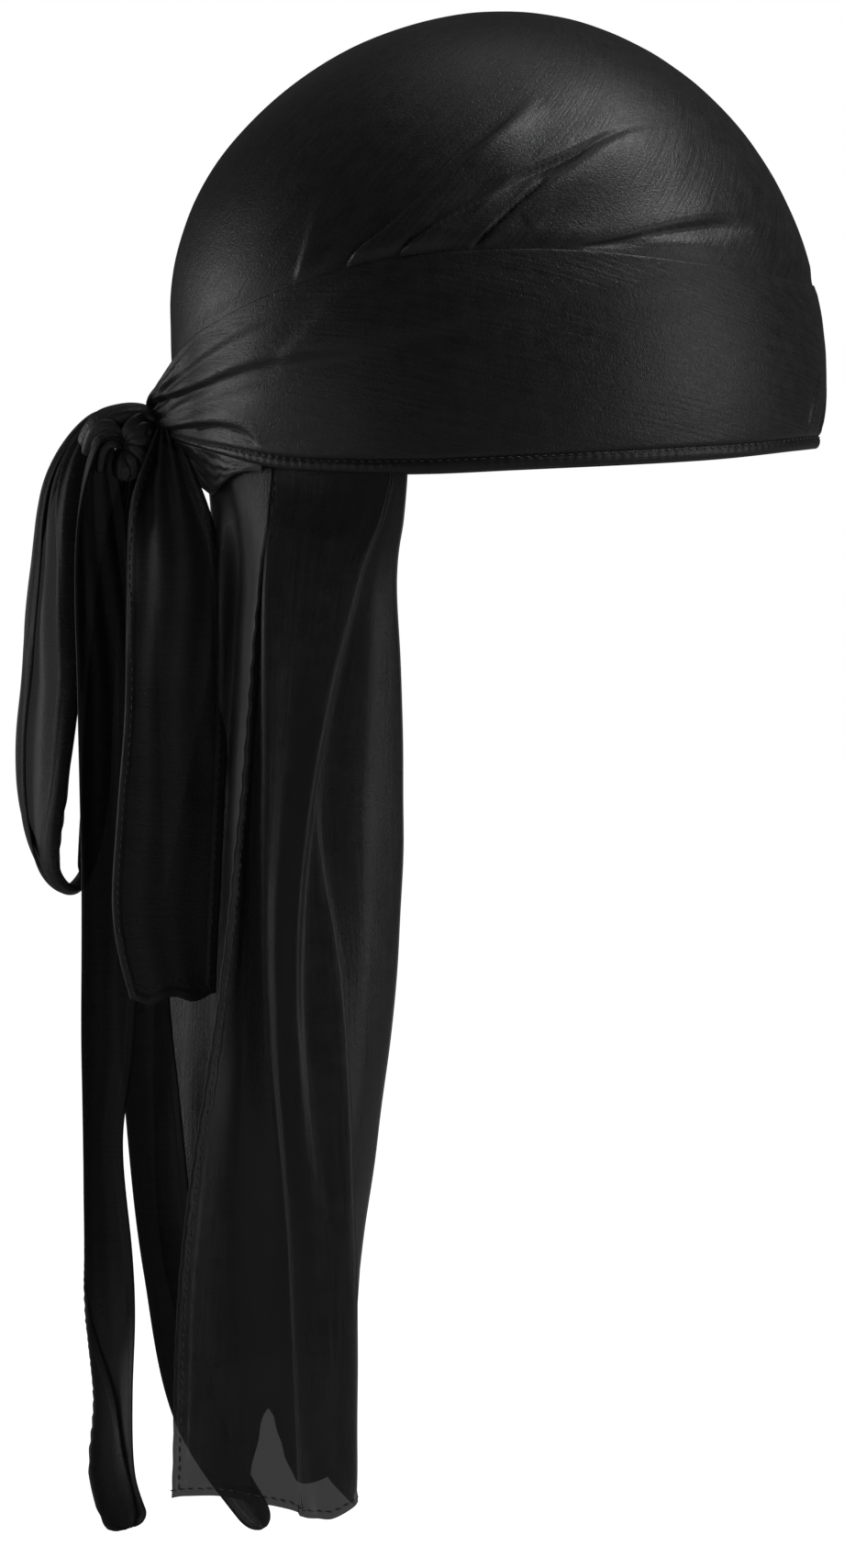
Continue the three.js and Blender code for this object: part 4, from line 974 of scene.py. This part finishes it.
def cape_lines():
    """Stations down each fold line: (lines, stations, 3)."""
    angle = np.radians(CAPE["turn"])
    hem = hem_height(angle)
    inset = 2 * LAYER + 2.2 + CAPE["layer"] * (CLOTH + GAP)
    out = unit(form_normal(angle, hem) * np.array([1, 1, 0]))
    edge = form_at(angle, hem)
    places = {
        level: np.stack([BACK_REACH * CAPE[level + "_x"], HALF_BREADTH * CAPE[level + "_y"]], -1)
        for level in CAPE_PLACES
    }
    stations = []
    for depth in (-BINDING_HEIGHT - CAPE_LAP, 0.0, TUCK_DROP + GAP):
        spot = edge - out * inset[:, None]
        spot[:, 2] = hem - depth
        if depth > 0:
            under_tuck = spot[:, :2] - out[:, :2] * nape_inset(CAPE["turn"], depth)[:, None]
            share = depth / (CAPE_DROP * CAPE_LEVELS[0])
            straight = mix(spot[:, :2], places["top"], share * 0.9)
            behind = ease((turn_of(angle) - TUCK_TURN) / 8.0)[:, None]
            spot[:, :2] = mix(straight, under_tuck, behind)
        stations.append(spot)
    for level, drop in zip(places, CAPE_LEVELS + (CAPE["drop"],)):
        x, y = places[level].T
        stations.append(np.stack(np.broadcast_arrays(x, y, -CAPE_DROP * drop), -1))
    return np.stack(stations, 1)


# %% Cape surface
CAPE_CROWD = (-0.06, 0.5, 1.9)
CAPE_WAVE, CAPE_WRINKLE = 0.45, 0.2
SIDE_PUCKER, SIDE_PITCH, FOOT_PUCKER, FOOT_PITCH = 0.28, 7.3, 0.35, 8.1


def cape_grid(columns=362, rows=120):
    lines = cape_lines()
    v = crowded(rows, 0.5)
    level = np.clip(np.searchsorted(CAPE_KNOTS, v, side="left") - 1, 0, len(CAPE_KNOTS) - 2)
    share = (v - CAPE_KNOTS[level]) / (CAPE_KNOTS[level + 1] - CAPE_KNOTS[level])
    down = through(np.swapaxes(lines, 0, 1), (level + share) / (len(CAPE_KNOTS) - 1))
    u = dense_between(columns, *CAPE_CROWD)
    grid = np.swapaxes(through(np.swapaxes(down, 0, 1), u), 0, 1)
    width, length = arc_lengths(grid)
    ww, ll = np.meshgrid(width, length)
    side = np.minimum(ww, width[-1] - ww)
    foot = length[-1] - ll
    edge = np.minimum(side, foot)
    normals = grid_normals(grid, False)
    free = ease((ll - 12) / 50.0)
    wave = CAPE_WAVE * ripple(51, ww, 0.25 * ll, 34.0)
    wave = free * (wave + CAPE_WRINKLE * ripple(53, ww, 0.5 * ll, 15.0))
    side_phase = 2 * math.pi * ll / SIDE_PITCH + ripple(57, ll, ww, 30.0)
    foot_phase = 2 * math.pi * ww / FOOT_PITCH + 2 * ripple(59, ww, ll, 40.0)
    pucker = SIDE_PUCKER * np.sin(side_phase) * bump_curve(side / 4.0) * free
    pucker = pucker + FOOT_PUCKER * np.sin(foot_phase) * bump_curve(foot / 6.0)
    return grid + normals * (wave + pucker)[..., None], edge


cape_points, cape_edge = cape_grid()
cape_wall = hem_wall(cape_edge, **HEM_ROLL)
cloth("cape_cloth", cape_points, cape_wall)

# %% [markdown]
# ## Satin
#
# Black satin is dark with a wide, soft sheen. Close up it has a fine weave and faint streaks
# along the threads, and the sheen breaks up slightly. One shader group makes the weave, the
# streaks and the small creases from the cloth's own UV map, and each finish uses it with its
# own strengths.

# %% Helpers for node trees
def socket(group, name, kind, direction, value=None):
    made = group.interface.new_socket(name=name, in_out=direction, socket_type=kind)
    if value is not None:
        made.default_value = value


def add_node(tree, kind, inputs=None, **settings):
    """A new node with its settings, and its inputs by name or number."""
    node = tree.nodes.new(kind)
    for key, value in settings.items():
        setattr(node, key, value)
    for key, value in (inputs or {}).items():
        node.inputs[key].default_value = value
    return node


def join(tree, *rows):
    """One link for each row: from a node's output to a node's input."""
    for giver, output, taker, entry in rows:
        tree.links.new(giver.outputs[output], taker.inputs[entry])


def new_material(name):
    material = bpy.data.materials.new(name)
    material.use_nodes = True
    return material, material.node_tree, material.node_tree.nodes["Principled BSDF"]


# %% Shader group for woven satin
WEAVE_SIZE, CRINKLE_SIZE, STREAK_SIZE = (0.0005, 0.0006), (0.0009, 0.0011), (0.0008, 0.020)
CREASE_SIZE, CLOUD_SIZE = (0.017, 0.026), (0.004, 0.005)
WEAVE_RISE, CRINKLE_RISE, STREAK_RISE, CREASE_RISE = 0.03, 0.12, 0.11, 0.5


def satin_group():
    group = bpy.data.node_groups.new("satin_weave", "ShaderNodeTree")
    socket(group, "Cloth UV", "NodeSocketVector", "INPUT")
    for name in ("Weave depth", "Streak depth", "Crease depth"):
        socket(group, name, "NodeSocketFloat", "INPUT", 1.0)
    socket(group, "Thread turn", "NodeSocketFloat", "INPUT", 0.0)
    for name in ("Height", "Grain"):
        socket(group, name, "NodeSocketFloat", "OUTPUT")
    enter, leave = add_node(group, "NodeGroupInput"), add_node(group, "NodeGroupOutput")
    threads = add_node(group, "ShaderNodeCombineXYZ")
    join(group, (enter, "Thread turn", threads, "Z"))

    def stretched(size, name, detail, turned=False, distortion=0.0):
        mapping = add_node(group, "ShaderNodeMapping", {"Scale": (*size, 1)}, vector_type="TEXTURE")
        values = {"Scale": 1.0, "Detail": detail, "Distortion": distortion}
        noise = add_node(group, "ShaderNodeTexNoise", values, name=name)
        if turned:
            join(group, (threads, "Vector", mapping, "Rotation"))
        join(group, (enter, "Cloth UV", mapping, "Vector"), (mapping, "Vector", noise, "Vector"))
        return noise.outputs["Fac"]

    def combined(operation, a, b):
        node = add_node(group, "ShaderNodeMath", operation=operation)
        group.links.new(a, node.inputs[0])
        if isinstance(b, float):
            node.inputs[1].default_value = b
        else:
            group.links.new(b, node.inputs[1])
        return node.outputs[0]

    def times(a, b):
        return combined("MULTIPLY", a, b)

    def sum_of(a, b):
        return combined("ADD", a, b)

    weave = stretched(WEAVE_SIZE, "weave", 1.0)
    crinkle = stretched(CRINKLE_SIZE, "crinkle", 1.0, distortion=1.5)
    streak = stretched(STREAK_SIZE, "streak", 2.0, turned=True)
    crease = stretched(CREASE_SIZE, "crease", 3.0)
    cloud = stretched(CLOUD_SIZE, "cloud", 3.0)
    woven = sum_of(times(weave, WEAVE_RISE), times(crinkle, CRINKLE_RISE))
    height = times(woven, enter.outputs["Weave depth"])
    height = sum_of(height, times(times(streak, STREAK_RISE), enter.outputs["Streak depth"]))
    height = sum_of(height, times(times(crease, CREASE_RISE), enter.outputs["Crease depth"]))
    grain = sum_of(times(weave, 0.35), sum_of(times(streak, 0.35), times(cloud, 0.3)))
    group.links.new(height, leave.inputs["Height"])
    group.links.new(grain, leave.inputs["Grain"])
    return group


SATIN = satin_group()
print("shader group", SATIN.name, "with", len(SATIN.nodes), "nodes")


# %% Satin finishes
GRAIN_FROM, GRAIN_TO = 0.3, 0.7
BUMP_DISTANCE, SHEEN_ROUGHNESS = 0.001, 0.4


def satin(name, dark, light, rough, alpha=1.0, weave=1.0, crease=1.0, sheen=0.03, turn=0.0,
          shine=0.5):
    """dark and light are the colours between threads and on them, rough the two roughnesses."""
    material, tree, shader = new_material(name)
    cloth_uv = add_node(tree, "ShaderNodeUVMap", uv_map="cloth")
    group = add_node(tree, "ShaderNodeGroup", node_tree=SATIN)
    for key, value in (("Weave depth", weave), ("Crease depth", crease), ("Thread turn", turn)):
        group.inputs[key].default_value = value
    grain = {"From Min": GRAIN_FROM, "From Max": GRAIN_TO}
    tint = add_node(tree, "ShaderNodeMapRange", grain)
    colour = add_node(tree, "ShaderNodeMix", data_type="RGBA")
    colour.inputs["A"].default_value = (*dark, 1)
    colour.inputs["B"].default_value = (*light, 1)
    gloss = add_node(tree, "ShaderNodeMapRange", {**grain, "To Min": rough[0], "To Max": rough[1]})
    bump = add_node(tree, "ShaderNodeBump", {"Strength": 1.0, "Distance": BUMP_DISTANCE})
    join(
        tree,
        (cloth_uv, "UV", group, "Cloth UV"),
        (group, "Grain", tint, "Value"),
        (tint, "Result", colour, "Factor"),
        (colour, "Result", shader, "Base Color"),
        (group, "Grain", gloss, "Value"),
        (gloss, "Result", shader, "Roughness"),
        (group, "Height", bump, "Height"),
        (bump, "Normal", shader, "Normal"),
    )
    shader.inputs["Specular IOR Level"].default_value = shine
    shader.inputs["Sheen Weight"].default_value = sheen
    shader.inputs["Sheen Roughness"].default_value = SHEEN_ROUGHNESS
    shader.inputs["Alpha"].default_value = alpha
    return material


SATIN_DARK, STRAP_DARK = (0.004, 0.004, 0.005), (0.005, 0.005, 0.006)
STRAP_LIGHT, STRAP_ROUGH = (0.028, 0.028, 0.030), (0.46, 0.64)
crown_satin = satin(
    "crown_satin", SATIN_DARK, (0.022, 0.022, 0.024), (0.35, 0.51), crease=0.25, sheen=0.02,
    turn=-0.55)
tie_satin = satin(
    "tie_satin", SATIN_DARK, (0.021, 0.021, 0.023), (0.34, 0.50), crease=0.4, turn=1.35)
strap_satin = satin(
    "strap_satin", STRAP_DARK, STRAP_LIGHT, STRAP_ROUGH, alpha=0.96, crease=0.7, shine=0.55)
loop_satin = satin(
    "loop_satin", STRAP_DARK, STRAP_LIGHT, STRAP_ROUGH, alpha=0.87, crease=0.7, shine=0.4)
knot_satin = satin(
    "knot_satin", STRAP_DARK, (0.026, 0.026, 0.028), (0.42, 0.60), crease=0.4, shine=1.0)
cape_satin = satin(
    "cape_satin", SATIN_DARK, (0.027, 0.027, 0.030), (0.38, 0.56), alpha=0.83, crease=0.7)
binding_satin = satin(
    "binding_satin", SATIN_DARK, (0.014, 0.014, 0.016), (0.34, 0.48), weave=0.8, turn=1.57)


# %% Thread finish
THREAD_DARK, THREAD_LIGHT = (0.018, 0.018, 0.019, 1), (0.085, 0.085, 0.088, 1)
THREAD_SCALE, THREAD_ROUGHNESS = 1800.0, 0.45


def thread_finish():
    material, tree, shader = new_material("black_thread")
    place = add_node(tree, "ShaderNodeTexCoord")
    noise = add_node(tree, "ShaderNodeTexNoise", {"Scale": THREAD_SCALE})
    shades = add_node(tree, "ShaderNodeMix", data_type="RGBA")
    shades.inputs["A"].default_value = THREAD_DARK
    shades.inputs["B"].default_value = THREAD_LIGHT
    join(
        tree,
        (place, "Object", noise, "Vector"),
        (noise, "Fac", shades, "Factor"),
        (shades, "Result", shader, "Base Color"),
    )
    shader.inputs["Roughness"].default_value = THREAD_ROUGHNESS
    return material


THREAD = thread_finish()

# %% A finish for each piece
finishes = {
    "crown_cloth": crown_satin,
    "tie_band_right_cloth": tie_satin,
    "tie_band_left_cloth": tie_satin,
    "edge_binding_roll": binding_satin,
    "nape_tuck_cloth": tie_satin,
    "knot_core_strands": knot_satin,
    "knot_wrap_strands": knot_satin,
    "bow_loop_cloth": loop_satin,
    "short_tail_cloth": strap_satin,
    "long_tail_cloth": strap_satin,
    "under_tail_cloth": strap_satin,
    "cape_cloth": cape_satin,
}
for name, material in finishes.items():
    pieces[name].data.materials.append(material)
print(len(set(finishes.values())), "satin finishes on", len(finishes), "pieces")

# %% [markdown]
# ## Stitches
#
# Rows of machine stitches hold the hems. Geometry Nodes set one small bead of thread after
# another along a line, each turned along it, with a slight random change of length. The line is
# made from the cloth's own grid, a hair above its surface.

# %% Stitch tree
BEAD_SEGMENTS, BEAD_RINGS = 6, 5
LENGTH_FROM, LENGTH_TO = 0.85, 1.1


def stitch_tree():
    tree = bpy.data.node_groups.new("stitch_row", "GeometryNodeTree")
    socket(tree, "Line", "NodeSocketGeometry", "INPUT")
    for name, value in (("Pitch", 0.0026), ("Length", 0.0017), ("Thread", 0.0004)):
        socket(tree, name, "NodeSocketFloat", "INPUT", value)
    socket(tree, "Seed", "NodeSocketInt", "INPUT", 1)
    socket(tree, "Finish", "NodeSocketMaterial", "INPUT")
    socket(tree, "Stitches", "NodeSocketGeometry", "OUTPUT")
    enter, leave = add_node(tree, "NodeGroupInput"), add_node(tree, "NodeGroupOutput")
    curve = add_node(tree, "GeometryNodeMeshToCurve")
    spaced = add_node(tree, "GeometryNodeResampleCurve", mode="LENGTH")
    tangent = add_node(tree, "GeometryNodeInputTangent")
    turn = add_node(tree, "FunctionNodeAlignRotationToVector", axis="X")
    bead_values = {"Segments": BEAD_SEGMENTS, "Rings": BEAD_RINGS, "Radius": 0.5}
    bead = add_node(tree, "GeometryNodeMeshUVSphere", bead_values)
    vary = add_node(tree, "FunctionNodeRandomValue", data_type="FLOAT")
    vary.inputs["Min"].default_value, vary.inputs["Max"].default_value = LENGTH_FROM, LENGTH_TO
    stretch = add_node(tree, "ShaderNodeMath", operation="MULTIPLY")
    size = add_node(tree, "ShaderNodeCombineXYZ")
    place = add_node(tree, "GeometryNodeInstanceOnPoints")
    real = add_node(tree, "GeometryNodeRealizeInstances")
    paint = add_node(tree, "GeometryNodeSetMaterial")
    tree.links.new([o for o in vary.outputs if o.enabled][0], stretch.inputs[1])
    join(
        tree,
        (enter, "Line", curve, "Mesh"),
        (curve, "Curve", spaced, "Curve"),
        (enter, "Pitch", spaced, "Length"),
        (tangent, "Tangent", turn, "Vector"),
        (enter, "Seed", vary, "Seed"),
        (enter, "Length", stretch, 0),
        (stretch, 0, size, "X"),
        (enter, "Thread", size, "Y"),
        (enter, "Thread", size, "Z"),
        (spaced, "Curve", place, "Points"),
        (bead, "Mesh", place, "Instance"),
        (turn, "Rotation", place, "Rotation"),
        (size, "Vector", place, "Scale"),
        (place, "Instances", real, "Geometry"),
        (real, "Geometry", paint, "Geometry"),
        (enter, "Finish", paint, "Material"),
        (paint, "Geometry", leave, "Stitches"),
    )
    return tree


STITCHES = stitch_tree()
stitch_ids = {
    item.name: item.identifier
    for item in STITCHES.interface.items_tree if item.in_out == "INPUT"
}


def stitch_rows(name, lines, seed, pitch=2.6, length=1.8, thread=0.36):
    """One plain mesh of stitches along each line of points, in mm."""
    points = np.concatenate(lines) * MM
    edges, start = [], 0
    for line in lines:
        edges.extend((start + k, start + k + 1) for k in range(len(line) - 1))
        start += len(line)
    guide_mesh = bpy.data.meshes.new(name + "_guide")
    guide_mesh.from_pydata(points.tolist(), edges, [])
    guide = bpy.data.objects.new(name + "_guide", guide_mesh)
    bpy.context.scene.collection.objects.link(guide)
    maker = guide.modifiers.new("stitches", "NODES")
    maker.node_group = STITCHES
    values = {"Pitch": pitch * MM, "Length": length * MM, "Thread": thread * MM}
    values.update({"Seed": seed, "Finish": THREAD})
    for label, value in values.items():
        maker[stitch_ids[label]] = value
    evaluated = guide.evaluated_get(bpy.context.evaluated_depsgraph_get())
    made = bpy.data.meshes.new_from_object(evaluated)
    bpy.data.objects.remove(guide)
    made.name = name
    made.polygons.foreach_set("use_smooth", [True] * len(made.polygons))
    pieces[name] = bpy.data.objects.new(name, made)
    bpy.context.scene.collection.objects.link(pieces[name])
    print(f"{name}: {len(made.polygons)} faces")


# %% Stitch rows
ROW_INSET, FOOT_ROW_INSET, ROW_LIFT = 2.1, 4.6, 0.1


def inset_line(grid, wall, inset, edge, side):
    """A line on one skin, in from the left or right edge (columns) or the low or high (rows)."""
    normals = grid_normals(grid, False)
    rise = np.broadcast_to(wall, grid.shape[:2]) / 2 + ROW_LIFT
    skin = grid + side * normals * rise[..., None]
    axis = 0 if edge in ("low", "high") else 1
    steps = np.linalg.norm(np.diff(grid, axis=axis), axis=-1)
    start = np.zeros_like(steps.take([0], axis))
    reach = np.concatenate([start, np.cumsum(steps, axis=axis)], axis=axis)
    if edge in ("high", "right"):
        reach = reach.take([-1], axis) - reach
    nearest = np.argmin(np.abs(reach - inset), axis=axis)
    along = np.arange(len(nearest))
    return skin[nearest, along] if axis == 0 else skin[along, nearest]


def hem_rows(grid, wall, rows):
    """Rows on both skins. Each is an edge, its inset, and how many points are left off its ends."""
    return [
        inset_line(grid, wall, inset, edge, side)[first:-last]
        for side in (1, -1) for edge, inset, first, last in rows
    ]


def binding_line(rise, out_share):
    spot, out, to_knot = binding_middle(np.linspace(-150, 150, BINDING_RINGS))
    depth = -BINDING_THICKNESS / 2 + to_knot + BINDING_THICKNESS / 2 * out_share
    line = spot + out * depth[:, None]
    line[:, 2] = spot[:, 2] + rise
    return line


binding_rows = [binding_line(0.95, 0.92), binding_line(2.0, 0.62)]
stitch_rows("binding_stitches", binding_rows, seed=3, pitch=2.4, length=1.5)
cape_rows = [("left", ROW_INSET, 14, 4), ("right", ROW_INSET, 14, 4), ("high", ROW_INSET, 3, 3)]
stitch_rows("cape_stitches", hem_rows(cape_points, cape_wall, cape_rows), seed=5)
short_rows = [("low", ROW_INSET, 30, 5), ("high", ROW_INSET, 30, 5)]
short_rows += [("right", FOOT_ROW_INSET, 4, 4)]
stitch_rows("short_tail_stitches", hem_rows(short_points, short_wall, short_rows), seed=7)

# %% [markdown]
# ## Floor, light and camera
#
# The light is that of a plain white studio, with five large soft lights: a strong one above the
# front, a level one before it, one behind the knot, one low beside the hanging ends, which shows
# their folds, and a faint one overhead. The surround and the floor are white to the camera, but
# they light the cloth only faintly, so that black satin stays black.

# %% Floor and surround
scene = bpy.context.scene
FLOOR_HEIGHT, FLOOR_REACH, FLOOR_GREY = -0.316, 6.0, 0.45
SURROUND_LIGHT = 0.04


def plain_floor():
    """A pale sheet. Only the camera sees it glow, so that it doesn't light the cloth from below."""
    mesh = bpy.data.meshes.new("floor")
    corners = [(-1, -1), (1, -1), (1, 1), (-1, 1)]
    places = [(x * FLOOR_REACH, y * FLOOR_REACH, FLOOR_HEIGHT) for x, y in corners]
    mesh.from_pydata(places, [], [(0, 1, 2, 3)])
    floor = bpy.data.objects.new("floor", mesh)
    scene.collection.objects.link(floor)
    material, tree, shader = new_material("pale_floor")
    shader.inputs["Base Color"].default_value = (FLOOR_GREY, FLOOR_GREY, FLOOR_GREY, 1)
    shader.inputs["Roughness"].default_value = 1.0
    glow = add_node(tree, "ShaderNodeEmission", {"Strength": 1.0})
    ray = add_node(tree, "ShaderNodeLightPath")
    seen = add_node(tree, "ShaderNodeMixShader")
    total = add_node(tree, "ShaderNodeAddShader")
    join(
        tree,
        (ray, "Is Camera Ray", seen, "Fac"),
        (glow, "Emission", seen, 2),
        (shader, "BSDF", total, 0),
        (seen, "Shader", total, 1),
        (total, "Shader", tree.nodes["Material Output"], "Surface"),
    )
    mesh.materials.append(material)
    return floor


floor = plain_floor()

world = bpy.data.worlds.new("studio")
scene.world = world
world.use_nodes = True
surround = world.node_tree
faint = surround.nodes["Background"]
faint.inputs["Color"].default_value = (1, 1, 1, 1)
faint.inputs["Strength"].default_value = SURROUND_LIGHT
white = add_node(surround, "ShaderNodeBackground", {"Color": (1, 1, 1, 1), "Strength": 1.0})
ray = add_node(surround, "ShaderNodeLightPath")
pick = add_node(surround, "ShaderNodeMixShader")
join(
    surround,
    (ray, "Is Camera Ray", pick, "Fac"),
    (faint, "Background", pick, 1),
    (white, "Background", pick, 2),
    (pick, "Shader", surround.nodes["World Output"], "Surface"),
)
print("floor at", FLOOR_HEIGHT, "m, surround", SURROUND_LIGHT)


# %% Lights
def aim(thing, at):
    thing.rotation_euler = (Vector(at) - thing.location).to_track_quat("-Z", "Y").to_euler()


def soft_light(name, place, at, size, power):
    lamp = bpy.data.lights.new(name, "AREA")
    lamp.shape, lamp.size, lamp.energy = "DISK", size, power
    light = bpy.data.objects.new(name, lamp)
    scene.collection.objects.link(light)
    light.location = place
    aim(light, at)


LIGHTS = {
    # name: place and aim in metres, width in metres, power in watts
    "key_light": ((1.05, -0.42, 1.42), (0.0, 0.0, 0.0), 0.9, 15),
    "front_light": ((1.60, -0.75, 0.05), (0.0, 0.0, 0.0), 0.8, 4.5),
    "back_light": ((-1.62, 0.34, 0.05), (0.0, 0.0, -0.05), 0.9, 5.5),
    "side_light": ((-1.30, -0.95, -0.60), (-0.1, 0.0, -0.1), 0.9, 6),
    "top_light": ((0.0, 0.2, 1.8), (0.0, 0.0, 0.0), 1.0, 2),
}
for name, settings in LIGHTS.items():
    soft_light(name, *settings)
print(len(LIGHTS), "lights")

# %% Camera
PHOTO_HEIGHT, PHOTO_FOCAL, SENSOR = 1709, 7699, 36.0
CAMERA_X, CAMERA_BACK, CAMERA_HEIGHT, AIM_HEIGHT = -0.0226, -2.0, -0.012, -0.0935
camera_data = bpy.data.cameras.new("camera")
camera = bpy.data.objects.new("camera", camera_data)
scene.collection.objects.link(camera)
camera.location = (CAMERA_X, CAMERA_BACK, CAMERA_HEIGHT)
aim(camera, (CAMERA_X, 0.0, AIM_HEIGHT))
camera_data.sensor_width = SENSOR
camera_data.lens = SENSOR * PHOTO_FOCAL / PHOTO_HEIGHT
scene.camera = camera
scene.view_settings.view_transform = "Standard"
print("lens", round(camera_data.lens, 1), "mm")

# %% [markdown]
# ## Pieces in place of the solids
#
# Each cloth stands for one solid of the imported model, which is hidden, and rides on its one body. A
# table lists each cloth's sheet, with the size it was cut to and how it is held.

# %% Pieces
ROLES = {
    "crown_cloth": ("crown", "satin_crown"),
    "tie_band_right_cloth": ("tie_band_right", "satin_ties"),
    "tie_band_left_cloth": ("tie_band_left", "satin_ties"),
    "edge_binding_roll": ("edge_binding", "binding"),
    "nape_tuck_cloth": ("nape_tuck", "satin_ties"),
    "knot_core_strands": ("knot_core", "satin_ties"),
    "knot_wrap_strands": ("knot_wrap", "satin_ties"),
    "bow_loop_cloth": ("bow_loop", "satin_hanging"),
    "short_tail_cloth": ("short_tail", "satin_hanging"),
    "long_tail_cloth": ("long_tail", "satin_hanging"),
    "under_tail_cloth": ("under_tail", "satin_hanging"),
    "cape_cloth": ("cape", "satin_hanging"),
}
THREADS = {
    "binding_stitches": "binding",
    "cape_stitches": "satin_hanging",
    "short_tail_stitches": "satin_hanging",
}
for name, (node, finish) in ROLES.items():
    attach(pieces[name], "root")
    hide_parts(node)
for name, finish in THREADS.items():
    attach(pieces[name], "root")
print(len(ROLES), "pieces in place of the solids,", len(THREADS), "sets of stitches")

# %% Sheets
SHEETS = {
    # piece: flat size in metres, how it is held, its flat area where the cut isn't a rectangle
    "crown_cloth": ((0.300, 0.340), "stretched", 0.068),
    "tie_band_right_cloth": ((0.053, 0.310), "stretched", None),
    "tie_band_left_cloth": ((0.053, 0.270), "stretched", None),
    "nape_tuck_cloth": ((0.014, 0.114), "gathered", None),
    "bow_loop_cloth": ((0.041, 0.288), "folded", None),
    "short_tail_cloth": ((0.031, 0.163), "hung", None),
    "long_tail_cloth": ((0.022, 0.320), "hung", None),
    "under_tail_cloth": ((0.017, 0.315), "hung", None),
    "cape_cloth": ((0.276, 0.292), "hung", None),
}
SEWN_ON = {"cape_cloth": ["cape_stitches"], "short_tail_cloth": ["short_tail_stitches"]}
for name, (flat, held, area) in SHEETS.items():
    extra = {"area": area} if area else {}
    if name in SEWN_ON:
        extra["with_pieces"] = [pieces[sewn] for sewn in SEWN_ON[name]]
print(len(SHEETS), "sheets declared")
